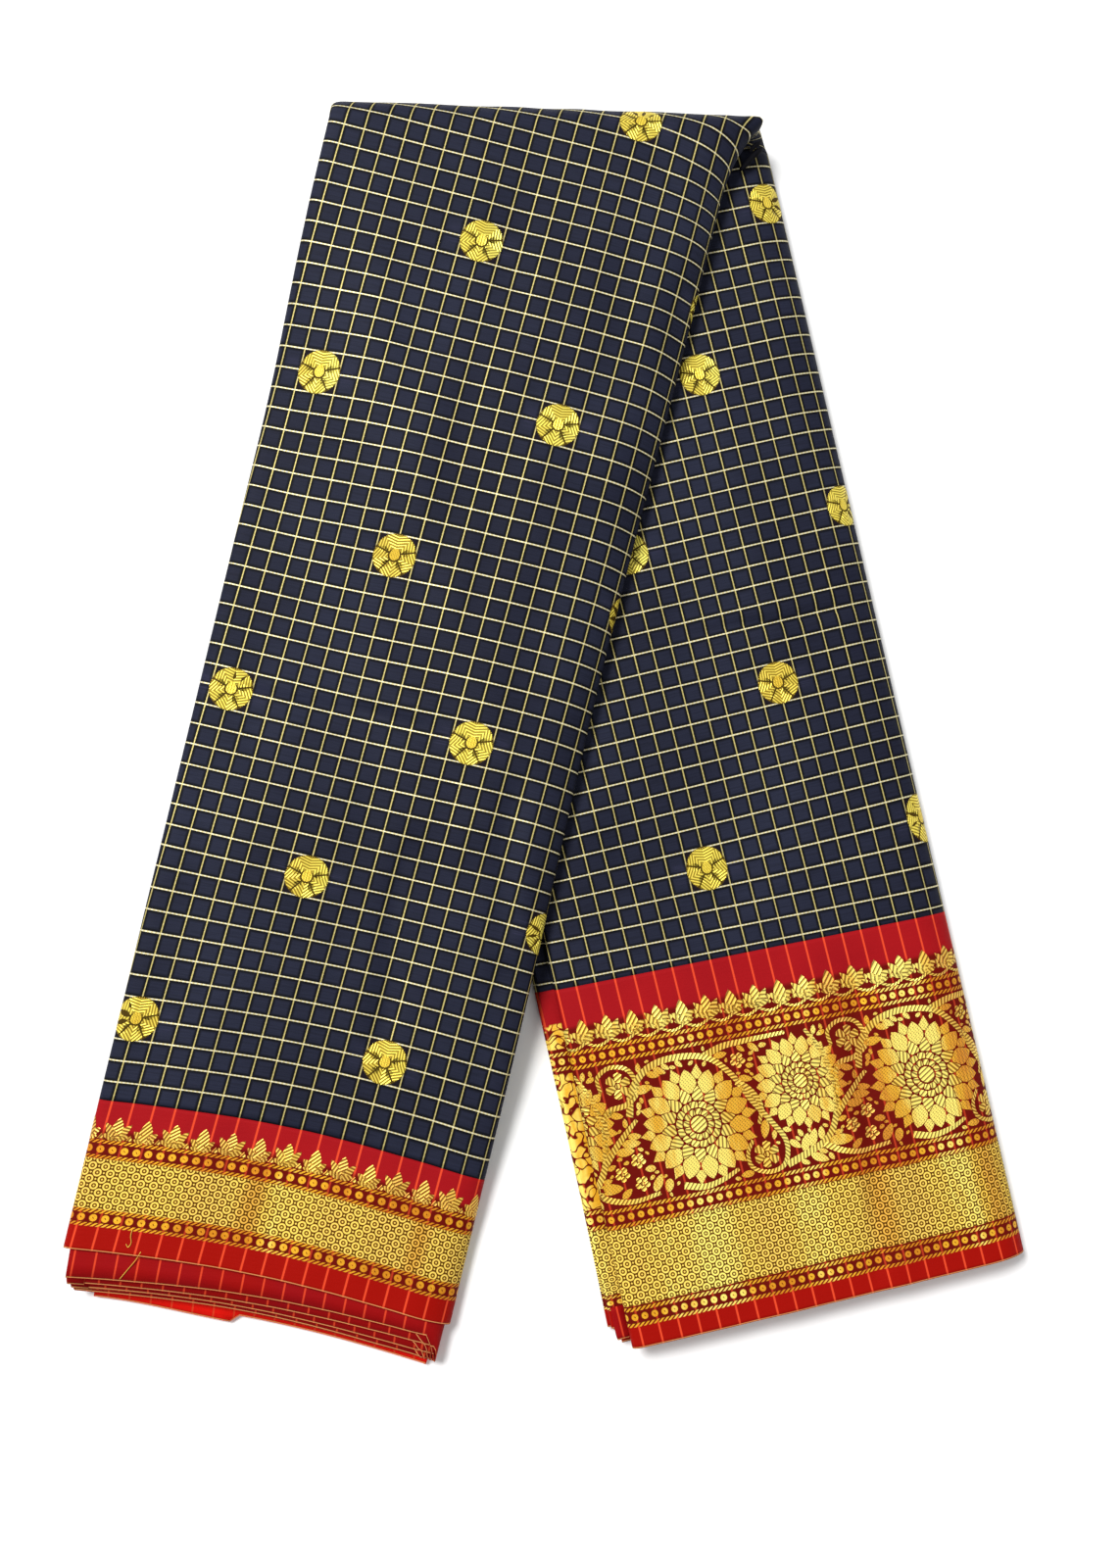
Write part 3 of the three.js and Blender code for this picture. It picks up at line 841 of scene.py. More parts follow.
def border_material(name, leg, warmth=0.0, scrolled=()):
    """Red silk with the gold bands of a leg's border, and scrolls between the depths in scrolled."""
    recipe = Recipe(name)
    bands = BANDS[leg]
    x, y = recipe.uv("weave")
    # the gold's painted sheen, and painted shade at this border's turns
    tone = gold_with_painted_sheen(recipe, x, y, warmth=warmth, turns=bands["turns"])
    cloud = recipe.noise(x, y, 0.02, 3.0)
    red = recipe.mix(cloud, RED, RED_DEEP)
    red = recipe.mix(y.ramp(bands["plain"] - 0.3, bands["plain"] + 0.3), red, SELVEDGE_RED)
    stripe = column_stripe(x, 0.60, 0.36)
    base = recipe.mix(stripe * 0.8, red, LINE_RED)
    rings, outlines = ring_lattice(x, y)
    area = y.band(*bands["lattice"], 0.2)
    rings = rings * area
    ground = y.band(*bands["maroon"], 1.4)
    base = recipe.mix(ground * 0.88, base, MAROON)
    base = recipe.mix(stripe * 0.35 * ground, base, LINE_RED)
    base = recipe.mix(area, base, recipe.mix(0.34, BROWN, tone))
    base = recipe.mix(outlines * area, base, BROWN)
    golds = [rings] + [rope(x, y - middle) for middle in bands["ropes"]]
    golds += [dots(x, y - middle, bands["dot_pitch"], bands["dot_radius"]) for middle in bands["dots"]]
    golds += [scrolls(recipe, x, y) * y.band(low, high, 0.3) for low, high in scrolled]
    gold = largest(golds)
    base = recipe.mix(gold, base, tone)
    # painted highlight: the rings painted pale, less so at the turns as painted shade
    ring_highlight = rings * 0.62
    for turn in painted_shade_at_turns(x, bands["turns"]):
        ring_highlight = ring_highlight * (turn * -0.55 + 1.0)
    base = recipe.mix(ring_highlight, base, ZARI_PALE)
    base = recipe.mix(edge_thread(y, BORDER_DEPTH[leg]) * 0.8, base, THREAD_PALE)
    shine = gold - rings
    recipe.surface(base, (cloud * 0.08 + 0.50) - shine * 0.14, 0.04, shine * 0.35 + rings * 0.05)
    recipe.silk_bump(x, y, 0.15, 0.4, gold * 0.8 + stripe * 0.4, 0.00018)
    return recipe.material


def selvedge_material():
    """Red silk of a selvedge: column lines, and a pale thread along its edge."""
    recipe = Recipe("red_selvedge")
    x, y = recipe.uv("weave")
    bright, _ = recipe.uv("tone")
    cloud = recipe.noise(x, y, 0.03, 3.0)
    red = recipe.mix(bright, recipe.mix(cloud, SELVEDGE_RED, RED_DEEP), BRIGHT_RED)
    stripe = column_stripe(x, 0.56, 0.30)
    thread = edge_thread(y, BORDER_DEPTH["front"])
    base = recipe.mix(thread * 0.85, recipe.mix(stripe * 0.7, red, LINE_RED), THREAD_PALE)
    recipe.surface(base, cloud * 0.1 + 0.5, 0.04)
    recipe.silk_bump(x, y, 0.15, 0.4, stripe * 0.4 + thread * 0.8, 0.00018)
    return recipe.material


def shade_dark_material():
    """Painted shade: the inside of the pack, seen only between its layers, and the tuck at the corner,
    coloured near black as the shade they lie in.
    """
    recipe = Recipe("painted_shade_layers")
    speck = recipe.object_noise(900.0)
    recipe.surface(recipe.mix(speck, NAVY_SHADE, (0.004, 0.004, 0.008)), 0.85, 0.1)
    recipe.bump(speck, 0.0002)
    return recipe.material


def motif_material(name, shades, warmth, pitch, weave, turns=()):
    """Gold brocade: satin ridges or a fine dotted weave on each petal, over the gold's painted sheen; ridge
    tops get a painted highlight and the grooves painted shade.
    """
    recipe = Recipe(name)
    satin, dotted = recipe.uv("satin")
    x, y = recipe.uv("spread")
    tone = gold_with_painted_sheen(recipe, x, y, shades, warmth, turns)
    # pale is the painted highlight colour; dark is the painted shade of the grooves and the colour of the
    # dotted weave's specks
    _, pale, _, dark = shades
    ridge = (satin * (2 * math.pi / pitch)).wave()
    turn = 2 * math.pi / weave
    specks = ((x * turn + y * (turn / 3)).sine() * (y * turn).sine() * 0.5 + 0.5).ramp(0.62, 0.86)
    ridged = dotted * -1.0 + 1.0
    # painted shade in the satin's grooves, and the dotted weave's dark specks
    groove_shade_and_specks = ridge.ramp(0.42, 0.12) * ridged + specks * dotted * 0.8
    # painted highlight on the ridge tops
    base = recipe.mix(ridge.ramp(0.55, 0.95) * ridged * 0.55, tone, pale)
    recipe.surface(recipe.mix(groove_shade_and_specks * 0.82, base, dark), groove_shade_and_specks * 0.15 + 0.36, 0.4, 0.40)
    recipe.bump(ridge - groove_shade_and_specks * 0.5, 0.00020)
    return recipe.material


# The gold of each border, by depth from the seam. At its turns, folds where the gold loses its sheen, all of
# it is painted orange as shade: middle, half width
BANDS = {
    "front": {
        "plain": 59.6,
        "turns": ((16.0, 10.0), (94.0, 7.0)),
        "lattice": (27.6, 51.2),
        "maroon": (14.0, 59.0),
        "ropes": (19.4, 26.6, 52.2, 58.6),
        "dots": (23.0, 55.4),
        "dot_pitch": 5.4,
        "dot_radius": 1.9,
    },
    "back": {
        "plain": 163.0,
        "turns": ((-14.0, 12.0), (43.0, 13.0)),
        "lattice": (116.8, 153.0),
        "maroon": (19.0, 162.6),
        "ropes": (31.2, 38.2, 108.2, 115.6, 154.8, 162.2),
        "dots": (34.7, 111.8, 158.5),
        "dot_pitch": 4.9,
        "dot_radius": 1.75,
    },
}
EDGE_SCROLLS = ((16.5, 28.5), (40.5, 106.5))  # on the wide border's folded edges, where no motif lies

field_silk = field_material("navy_check_silk", OLIVE)
field_edge_silk = field_material("navy_check_silk_edges", FLOWER_SHADES[0])
front_border_silk = border_material("red_border_narrow", "front", 0.07)
back_border_silk = border_material("red_border_wide", "back")
back_edge_silk = border_material("red_border_wide_edges", "back", scrolled=EDGE_SCROLLS)
border_silk = {"front": front_border_silk, "back": back_border_silk}
border_edge_silk = {"front": front_border_silk, "back": back_edge_silk}
selvedge_silk = selvedge_material()
# painted shade: a near-black stand-in for the shade inside the pack and at the corner's tuck
painted_shade_silk = shade_dark_material()
brocade = motif_material("gold_brocade", ZARI_SHADES, -0.05, 1.9, 1.7, BANDS["back"]["turns"])
warm_brocade = motif_material("gold_brocade_warm", ZARI_SHADES, 0.08, 1.5, 1.5, BANDS["front"]["turns"])
flower_brocade = motif_material("gold_flower_brocade", FLOWER_SHADES, -0.02, 1.25, 1.2)


# The four stretches of cloth that show

fields = {leg: leg_sheet(field_stations(leg)) for leg in LEGS}
borders = {leg: leg_sheet(border_stations(leg), border=True) for leg in LEGS}
for leg in LEGS:
    hidden_under = [leg + "_field", leg + "_layers"]
    make_cover(leg + "_field_cloth", fields[leg], field_silk, "navy_silk", hidden_under)
    make_cover(leg + "_border_cloth", borders[leg], border_silk[leg], "red_border", [leg + "_border"])


# The layers beneath: folded edges at the open side, leaves at the hems, and a core that fills the pack

LEAF_RUN = 26.0  # how far a leaf reaches in beneath the top layer
LEAF_STEP = 1.5  # and each one less than the one outside it
LEAF_ROWS = 7
LEAF_INSETS = (1.6, 2.7, 3.8, 4.9, 6.0, 6.9)
LEAF_BEND, LEAF_TAIL = 0.5, 8.0  # radius of a leaf's folded end, and how far it runs back from there
LEAF_NARROWING = {"front": 8.0, "back": 0.0}
EDGE_FOLDS = 4
EDGE_OUT = (0.2, 1.0, -0.5, 0.0)  # how far each folded edge stands out, from the floor up
EDGE_REACH, EDGE_BEND = 16.0, 1.5  # how far in a folded edge runs, and the radius of its bend
EDGE_LENGTHS = {"front": (490, 66), "back": (420, 165)}  # of field and border
EDGE_SHORT = {"front": 0.0, "back": 9.0}  # how far the edges end above the top layer's hem
EDGE_SHORT_V = (0.93, 0.07)  # from where, and over what share of the leg
BACK_LEAF_SHORT = (9.0, 1.6, 0.12)  # at the left, at the right, and the share of it in the upper group
CORE_END_V = 0.95  # the core ends short of the hem
FRONT_LEAF_HEIGHTS = (0, 6.9, 7.6, 9.2, 9.8, 11.4, 12.0, 15)
FRONT_LEAF_PAST = {  # millimetres past the top layer's hem, for those heights
    "left": (20.4, 20.0, 18.8, 18.6, 16.5, 16.3, 13.4, 13.3),
    "right": (19.6, 19.3, 15.8, 15.6, 11.5, 11.3, 6.6, 6.5),
}
FRONT_LEAF_LEFT = (12.0, 6.0, 4.4, 4.0, 3.2, 2.8, 1.8, 1.2)  # how far in their left ends lie, likewise
LOWEST_LEAF = 3.4  # how far the lowest leaf reaches past the rest
LOWEST_CORNER = (0.06, 0.43, 3.6)  # shares across between which it slants out to a corner, and how far


def thickened(a, h):
    """A path moved inwards by the cloth's thickness, to the right of its direction."""
    along_a, along_h = np.gradient(a, axis=1), np.gradient(h, axis=1)
    length = np.hypot(along_a, along_h) + 1e-9
    return a + along_h / length * CLOTH, h - along_a / length * CLOTH


def c_path(stations, inset, left_top, left_low):
    """A layer beneath the top one: from its folded upper edge, over, round the right edge and back along the
    floor.
    """
    width, roll_top, roll_bottom, low = as_columns(stations)
    top = PACK - inset
    start = np.array([[left_top + LEAF_TAIL]]), top - 2 * LEAF_BEND
    turn = row_of(-np.pi / 2, np.pi / 2, C_END_POINTS)
    first_a = left_top + LEAF_BEND - LEAF_BEND * np.cos(turn)
    first_h = top - LEAF_BEND + LEAF_BEND * np.sin(turn)
    face_a = lerp(left_top + LEAF_BEND, width - roll_top, row_of(0, 1, C_FACE_POINTS)[:, 1:-1])
    turn = row_of(0, np.pi / 2, C_ROLL_POINTS)
    upper = upper_roll(width, roll_top, low, inset, turn)
    bottom = np.minimum(inset, low - 0.3)
    roll = np.maximum(roll_bottom, inset + 1.5)
    lower = lower_roll(width, roll, low, inset, bottom, turn[:, 1::2])
    under_a = lerp(width - roll, left_low + LEAF_BEND, row_of(0, 1, C_UNDER_POINTS)[:, 1:-1])
    under_h = lerp(bottom, inset, smooth(row_of(0, 6, C_UNDER_POINTS)[:, 1:-1]))
    turn = row_of(0, np.pi, C_END_POINTS)
    last_a = left_low + LEAF_BEND - LEAF_BEND * np.sin(turn)
    last_h = inset + LEAF_BEND - LEAF_BEND * np.cos(turn)
    end = np.array([[left_low + LEAF_TAIL]]), inset + 2 * LEAF_BEND
    over = (start, (first_a, first_h), (face_a, top), upper)
    return joined(stations, *over, lower, (under_a, under_h), (last_a, last_h), end)


def place_layer(stations, a, h, slide):
    """Points and flat places of a layer's outer and inner side. slide moves its points up the leg."""
    slope = BACK_LEFT[2] if stations.leg == "back" else 0.0
    sides = []
    for path in ((a, h), thickened(a, h)):
        points, flat = stations.place(*path, path[0])
        points[..., 0] += slope * slide
        points[..., 1] += slide
        sides += [points, flat]
    return sides


def leaf_left(leg, k, inset):
    """Where a leaf's folded ends lie, at the top and at the bottom of the pack."""
    if leg == "back":
        return 1.2 + 0.5 * (k % 2), -LOWER_OUT + 0.6 * (k % 3) + 0.4
    top, low = np.interp([PACK - inset, inset - LEAF_INSETS[0]], FRONT_LEAF_HEIGHTS, FRONT_LEAF_LEFT)
    return float(top), float(low) - 0.7 * k


def leaf_past(leg, k, u, h):
    """How far a leaf reaches past the top layer's hem."""
    if leg == "back":
        left, right, upper_share = BACK_LEAF_SHORT
        short = lerp(left, right, smooth(u)) * lerp(1, upper_share, smooth((h - HALF + 1) / 2))
        return -(short + 0.35 * (k % 3) + 0.2 * np.sin(4 * u + 1.7 * k))
    past = lerp(*(np.interp(h, FRONT_LEAF_HEIGHTS, FRONT_LEAF_PAST[side]) for side in ("left", "right")), u)
    past = past + 0.35 * math.sin(2.1 * k) * np.sin(5 * u + k)
    low, high, reach = LOWEST_CORNER
    corner = np.where(u < high, reach * smooth((u - low) / (high - low)), 0)
    return past + (LOWEST_LEAF + corner) * smooth((2.9 - h) / 0.8) * (k == 0)


def hem_leaves(leg):
    bundle = Bundle()
    front = leg == "front"
    t = np.linspace(0, 1, LEAF_ROWS)
    for k, inset in enumerate(LEAF_INSETS):
        start = LEAF_RUN - LEAF_STEP * k
        up = start * (1 - t)
        stations = Stations(leg, HEM[leg][0] + up, HEM[leg][1] + up, 1 - up / LEG_LENGTH[leg])
        a, h = c_path(stations, inset, *leaf_left(leg, k, inset))
        u = np.clip(a / stations.width[:, None], 0, 1)
        past = leaf_past(leg, k, u, h)
        narrower = smooth((u - 0.3) / 0.7) * smooth((13.5 - h) / 12.0) * t[:, None]
        narrower = LEAF_NARROWING[leg] * narrower
        outer, _, inner, flat = place_layer(stations, a - narrower, h, -past * t[:, None])
        column, _ = weave_place(stations, flat, a)
        to_edge = (1 - t)[:, None] * (start + past)
        lower_half = (h <= HALF) * front
        column = column + (0.37 * k + 0.5 * lower_half)
        weave = np.stack([column * CHECK[0], BORDER_DEPTH["front"] - to_edge], axis=-1)
        tone = smooth((3.0 - h) / 0.6) * (front and k == 0)
        bundle.add(outer, inner, weave, tone)
    bundle.make(leg + "_hem_leaves", selvedge_silk, "red_border", [leg + "_hem_layers"], LEAF_RUN)


def fold_edge_path(stations, k):
    """A folded edge of the lower group: in at its lower side, out round the edge, and back in above."""
    height = HALF / EDGE_FOLDS
    waver = 0.35 * np.sin(np.arange(len(stations.width)) / 17.0 + 2.0 * k)
    out = (stations.out + EDGE_OUT[k] + waver)[:, None]
    middle, radius = (k + 0.5) * height, height / 2 - 0.08
    turn = row_of(-np.pi / 2, np.pi / 2, 9)
    bend_a = -out + EDGE_BEND - EDGE_BEND * np.cos(turn) ** 0.7
    low_a = lerp(-out + EDGE_BEND, EDGE_REACH, row_of(1, 0, 4)[:, :-1])
    bend = bend_a, middle + radius * np.sin(turn)
    return joined(stations, (low_a, middle - radius), bend, (low_a[:, ::-1], middle + radius))


def folded_edges(name, stations_list, material, slot, length, border=False, short=0.0):
    bundle = Bundle()
    for k in range(EDGE_FOLDS):
        parts = []
        for stations in stations_list:
            a, h = fold_edge_path(stations, k)
            slide = short * smooth((stations.v - EDGE_SHORT_V[0]) / EDGE_SHORT_V[1])
            outer, flat, inner, _ = place_layer(stations, a, h, slide)
            parts.append((outer, inner, weave_at(stations, flat, a, border)))
        bundle.add(*(np.concatenate(part) for part in zip(*parts)))
    bundle.make(name, material, slot, [], length)


def core_path(stations):
    """A closed outline inside the outermost layer and the folded edges."""
    width, roll_top, roll_bottom, low = as_columns(stations)
    top = PACK - CORE_INSET
    left_a = np.array([[EDGE_REACH - 5, EDGE_REACH - 5, LIP_WIDE, LIP_WIDE]])
    left_h = np.array([[CORE_BOTTOM, HALF - 0.5, HALF + 1.2, top - 0.6]])
    face_a = lerp(LIP_WIDE + 3, width - roll_top, row_of(0, 1, CORE_FACE_POINTS))
    turn = row_of(0, np.pi / 2, CORE_ROLL_POINTS)[:, 1:]
    upper = upper_roll(width, roll_top, low, CORE_INSET, turn)
    lower = lower_roll(width, roll_bottom, low, CORE_INSET, CORE_BOTTOM, turn[:, 1::2])
    under_a = lerp(width - roll_bottom, EDGE_REACH - 4, row_of(0, 1, CORE_FACE_POINTS)[:, 1:])
    return joined(stations, (left_a, left_h), (face_a, top), upper, lower, (under_a, CORE_BOTTOM))


def make_core(leg):
    rings = []
    bottom = [y + LEAF_RUN for y in HEM[leg]]
    for stations in from_fold(leg, CORE_STEPS, bottom, CORE_END_V, CORE_FOLD_STEPS):
        a, h = core_path(stations)
        rings.append(stations.place(a, h, a)[0])
    rings = np.concatenate(rings)
    # the core is painted shade: near black, as the shade between the layers
    new_object(leg + "_core", rings.reshape(-1, 3), tube_faces(*rings.shape[:2]), painted_shade_silk)


for leg in LEGS:
    hem_leaves(leg)
for leg in LEGS:
    length = EDGE_LENGTHS[leg][0]
    folded_edges(leg + "_field_edges", field_stations(leg), field_edge_silk, "navy_silk", length)
for leg in LEGS:
    length, short = EDGE_LENGTHS[leg][1], EDGE_SHORT[leg]
    stations = border_stations(leg)
    name = leg + "_border_edges"
    folded_edges(name, stations, border_edge_silk[leg], "red_border", length, True, short)
for leg in LEGS:
    make_core(leg)


# Woven gold motifs: thin pieces of brocade that lie on the cloth

HATCH = math.radians(60)


def heading(angle):
    """One step along +Y, turned by an angle."""
    return np.array([-math.sin(angle), math.cos(angle)])


def turned(points, angle, place):
    c, s = math.cos(angle), math.sin(angle)
    return np.asarray(points, dtype=float) @ np.array([[c, s], [-s, c]]) + np.asarray(place, dtype=float)


def mirrored(half, height, skip=1):
    """An outline from half widths at heights up its right side. skip is 1 where a point tops it, or 0."""
    right = np.stack([half, height], axis=1)
    return np.concatenate([right, (right * [-1, 1])[::-1][skip:]])


def pointed_petal(length, width, fullness=0.62, count=9):
    """A leaf or petal that grows along +Y from the origin and ends in a point."""
    s = np.linspace(0, 1, count)
    half = width / 2 * np.sin(np.pi * s**0.8) ** fullness
    half[0] = width * 0.12
    return mirrored(half, s * length)


def full_petal(length, width, count=9):
    """A broad petal from a wide base to a point."""
    s = np.linspace(0, 1, count)
    return mirrored(width / 2 * np.sin(np.pi * (0.20 + 0.80 * s)) ** 0.8, s * length)


def scale_petal(length, base, width, count=7):
    """A petal that widens from its base to a round, slightly pointed end."""
    s = np.linspace(0, 1, count)
    half = (base + (width - base) * s) / 2 * np.sqrt(1 - s**7)
    return mirrored(half, s * length * (1 + 0.06 * (1 - half / width)))


def sector(start, end, half_angle, size, count=9):
    """A petal between two radii, seen from its flower's heart. half_angle gives its width at each radius."""
    share = np.linspace(start, end, count)
    half = np.maximum(share * size * np.sin(half_angle(share)) - PETAL_GAP / 2, 0.04)
    return mirrored(half, share * size, skip=0)


def disc(radius, count=14):
    angle = np.linspace(0, 2 * np.pi, count, endpoint=False)
    return np.stack([np.cos(angle), np.sin(angle)], axis=1) * radius


def smooth_curve(points, steps=6):
    """A curve through given points (Catmull-Rom)."""
    points = np.asarray(points, dtype=float)
    padded = np.concatenate([points[:1] * 2 - points[1:2], points, points[-1:] * 2 - points[-2:-1]])
    out = []
    for p0, p1, p2, p3 in zip(padded, padded[1:], padded[2:], padded[3:]):
        for t in np.arange(steps) / steps:
            out.append(
                0.5 * (2 * p1 + (p2 - p0) * t + (2 * p0 - 5 * p1 + 4 * p2 - p3) * t**2
                       + (3 * p1 - p0 - 3 * p2 + p3) * t**3)
            )
    out.append(points[-1])
    return np.array(out)


class Brocade:
    """Gathers flat motif shapes, lays them on a sheet and makes one piece of them."""

    LIFT = 0.13
    STEM_PART = 4  # steps of a curve that are laid at a time

    def __init__(self, sheet, unit):
        self.sheet, self.unit = sheet, np.array(unit)
        self.points, self.faces, self.satin, self.spread = [], [], [], []

    def _add(self, flat, faces, satin, dotted=False):
        laid = self.sheet.lay(flat / self.unit, self.LIFT)
        if laid is None:
            return
        start = sum(len(p) for p in self.points)
        self.points.append(laid)
        self.faces += [[i + start for i in face] for face in faces]
        self.satin.append(np.stack([satin, 0 * satin + dotted], axis=1))
        self.spread.append(flat)

    def shape(self, outline, hatch, rings=3):
        """A filled shape, seen whole from its heart. Its ridges lie at the hatch angle; None is dotted."""
        outline = np.asarray(outline)
        heart = outline.mean(axis=0)
        n = len(outline)
        flat = np.concatenate([heart[None]] + [lerp(heart, outline, (k + 1) / rings) for k in range(rings)])
        faces = [[0, 1 + i, 1 + (i + 1) % n] for i in range(n)]
        for k in range(rings - 1):
            low, high = 1 + k * n, 1 + (k + 1) * n
            faces += [[low + i, high + i, high + (i + 1) % n, low + (i + 1) % n] for i in range(n)]
        away = flat - heart
        dotted = hatch is None
        hatch = 0.0 if dotted else hatch
        self._add(flat, faces, away[:, 0] * math.cos(hatch) + away[:, 1] * math.sin(hatch), dotted)

    def put(self, outline, angle, place, hatch, rings=2):
        """Adds a shape that was drawn upright, turned and moved to its place."""
        self.shape(turned(outline, angle, place), None if hatch is None else hatch + angle, rings)

    def dot(self, place, radius, count, hatch=0):
        self.put(disc(radius, count), 0, place, hatch, rings=1)

    def ribbon(self, curve, width, taper=0.5):
        """A stem along a curve, narrower at its end."""
        along = np.gradient(curve, axis=0)
        along /= np.linalg.norm(along, axis=1, keepdims=True)
        aside = np.stack([-along[:, 1], along[:, 0]], axis=1)
        half = width / 2 * np.linspace(1, taper, len(curve))[:, None]
        length = run_along(curve)
        for i in range(0, len(curve) - 1, self.STEM_PART):
            part = slice(i, min(i + self.STEM_PART + 1, len(curve)))
            flat = np.concatenate([curve[part] + aside[part] * half[part] * k for k in (1, 0, -1)])
            n = len(flat) // 3
            faces = []
            for k in range(n - 1):
                faces.append([k, n + k, n + k + 1, k + 1])
                faces.append([n + k, 2 * n + k, 2 * n + k + 1, n + k + 1])
            self._add(flat, faces, np.concatenate([length[part]] * 3) + np.repeat([0.8, 0, -0.8], n))

    def make(self, name, material, slot):
        obj = new_object(name, np.concatenate(self.points), self.faces, material)
        add_uv(obj.data, "satin", np.concatenate(self.satin))
        add_uv(obj.data, "spread", np.concatenate(self.spread))


PETAL_GAP = 0.42
FAN_PETALS, FAN_POINTS = 5, 25
FLOWER_COLUMNS, FLOWER_ROWS = 10, 6  # to each side, more than any sheet holds


def fan_petal(middle, gaps):
    """A fan of a fifth of a circle with a combed outer edge; gaps are how far each side stands back."""
    half = math.pi / FAN_PETALS
    angles = np.linspace(-half, half, FAN_POINTS)
    comb = 0.5 * (np.arange(FAN_POINTS) % 2)
    outer = FLOWER_RADIUS * (1 - 0.06 * np.abs(angles / half) ** 3) - comb
    inner = np.full(FAN_POINTS, FLOWER_HEART + FLOWER_GAP)
    angles = np.concatenate([angles, angles[::-1]])
    radius = np.concatenate([outer, inner])
    ends = np.stack([radius * np.cos(angles), radius * np.sin(angles)], axis=1)
    for side, gap in zip((-1, 1), gaps):
        limit = np.maximum(ends[:, 0] * math.tan(half) - gap / 2 / math.cos(half), 0.15)
        ends[:, 1] = np.where(ends[:, 1] * side > limit, limit * side, ends[:, 1])
    return turned(ends, middle, (0, 0)), (ends[:, 1] <= 0.02), (ends[:, 1] >= -0.02)


def round_flower(piece, place):
    """The scattered flower: five fan petals round a drop, the upper two joined, with dark gaps between."""
    for k in range(FAN_PETALS):
        middle = math.radians(90 + 72 * k)
        gaps = (0.0 if k == 3 else FLOWER_GAP, 0.0 if k == 2 else FLOWER_GAP)
        ends, *halves = fan_petal(middle, gaps)
        for half, side in zip(halves, (-1, 1)):
            piece.shape(ends[half] + place, middle + side * math.radians(50))
    tip = disc(FLOWER_HEART)
    tip[:, 1] += np.where(tip[:, 1] < 0, -(tip[:, 1] ** 2) * 0.22, 0)
    piece.shape(tip + place, None, rings=1)


def scatter_flowers(leg):
    """Flowers on a half-drop lattice, wherever one fits on the sheet."""
    piece = Brocade(fields[leg], CHECK)
    weave = fields[leg].weave.reshape(-1, 2)
    low, high = weave.min(axis=0) - 1, weave.max(axis=0) + 1
    for i in range(-FLOWER_COLUMNS, FLOWER_COLUMNS + 1):
        for j in range(-FLOWER_ROWS, FLOWER_ROWS + 1):
            for half_drop in (0.0, 0.5):
                place = (np.array([i, j]) + half_drop) * FLOWER_STEP
                if (place > low).all() and (place < high).all():
                    round_flower(piece, place * CHECK)
    piece.make(leg + "_flowers", flower_brocade, "navy_silk")


UP = math.pi  # a motif drawn along +Y, turned so that it points back to the seam


def bud(piece, place, size):
    piece.put(full_petal(size, size * 0.56), UP, place, math.radians(40), rings=3)
    for side in (-1, 1):
        root = place + np.array([-side * size * 0.06, 0])
        piece.put(pointed_petal(size * 0.72, size * 0.34), UP + side * 0.92, root, HATCH)
        piece.put(pointed_petal(size * 0.46, size * 0.24), UP + side * 1.42, place, HATCH)


def trefoil(piece, place, size):
    piece.put(full_petal(size * 0.80, size * 0.46), UP, place + np.array([0, -size * 0.20]), 0.9, rings=3)
    for side in (-1, 1):
        piece.put(full_petal(size * 0.92, size * 0.36), UP + side * 0.66, place, HATCH, rings=3)
        piece.put(pointed_petal(size * 0.60, size * 0.26), UP + side * 1.25, place, HATCH)
    piece.dot(place + np.array([0, -size * 0.08]), size * 0.10, 8)


def garland(piece, pitch, base, size, swag, span):
    """A row of buds and open flowers side by side, with small pieces between them."""
    for k in range(int(span[0] // pitch), int(span[1] // pitch) + 1):
        place = np.array([k * pitch, base])
        (bud if k % 2 else trefoil)(piece, place, size)
        between = place + np.array([pitch / 2, -size * 0.12])
        if swag:
            piece.dot(between + np.array([0, -size * 0.20]), 1.5, 4)
            t = np.linspace(0, 1, 9)
            curve = np.stack([place[0] + pitch * t, base + 0.9 + swag * np.sin(np.pi * t)], axis=1)
            piece.ribbon(curve, 1.25, taper=1.0)
            piece.dot(between + np.array([0, size * 0.02]), 0.9, 6)
        else:
            piece.put(disc(1.7, 3), math.pi / 6, between + np.array([0, 0.5]), 0, rings=1)


def lotus(piece, place, size, facing):
    """A hatched heart, two rings of stamens, a ring of hatched petals, and pointed ones behind."""
    step = math.pi / LOTUS_PETALS

    def inner(r):
        return step * np.clip(np.minimum((r - 0.36) / 0.13, (0.72 - r) / 0.19), 0, 1) ** 0.8

    def outer(r):
        return np.minimum(step - inner(r), step * np.clip((1.05 - r) / 0.26, 0, 1) ** 0.72)

    def behind(r):
        return np.minimum(step - outer(r), step * 0.7 * np.clip((1.14 - r) / 0.24, 0, 1))

    rings = (
        (0.185, 0.29, 12, lambda r: math.pi / 12 * (1 - smooth((r - 0.25) / 0.07) * 0.4), 0.5),
        (0.315, 0.43, LOTUS_PETALS, lambda r: step * (1 - smooth((r - 0.38) / 0.08) * 0.5), 0.5),
        (0.455, 0.72, LOTUS_PETALS, inner, 0.9),
        (0.60, 1.05, LOTUS_PETALS, outer, None),
        (0.86, 1.14, LOTUS_PETALS, behind, None),
    )
    piece.put(disc(size * 0.155, 12), 0, place, HATCH)
    for k, (start, end, count, half_angle, hatch) in enumerate(rings):
        for i in range(count):
            angle = facing + 2 * math.pi * (i + 0.5 * (k % 2)) / count
            piece.put(sector(start, end, half_angle, size), angle, place, hatch)


def small_flower(piece, place, radius, petals=5):
    for i in range(petals):
        angle = 2 * math.pi * i / petals + 0.3
        middle = place + np.array([math.cos(angle), math.sin(angle)]) * radius * 0.62
        piece.dot(middle, radius * 0.36, 8, HATCH)
    piece.dot(place, radius * 0.22, 6)


def round_bloom(piece, place, radius, petals=6):
    """A small open flower that a stem curls round."""
    outline = scale_petal(radius * 0.72, radius * 0.34, radius * 0.78)
    for i in range(petals):
        angle = 2 * math.pi * i / petals + 0.2
        piece.put(outline, angle, place + heading(angle) * radius * 0.26, math.radians(50))
    piece.dot(place, radius * 0.20, 8)


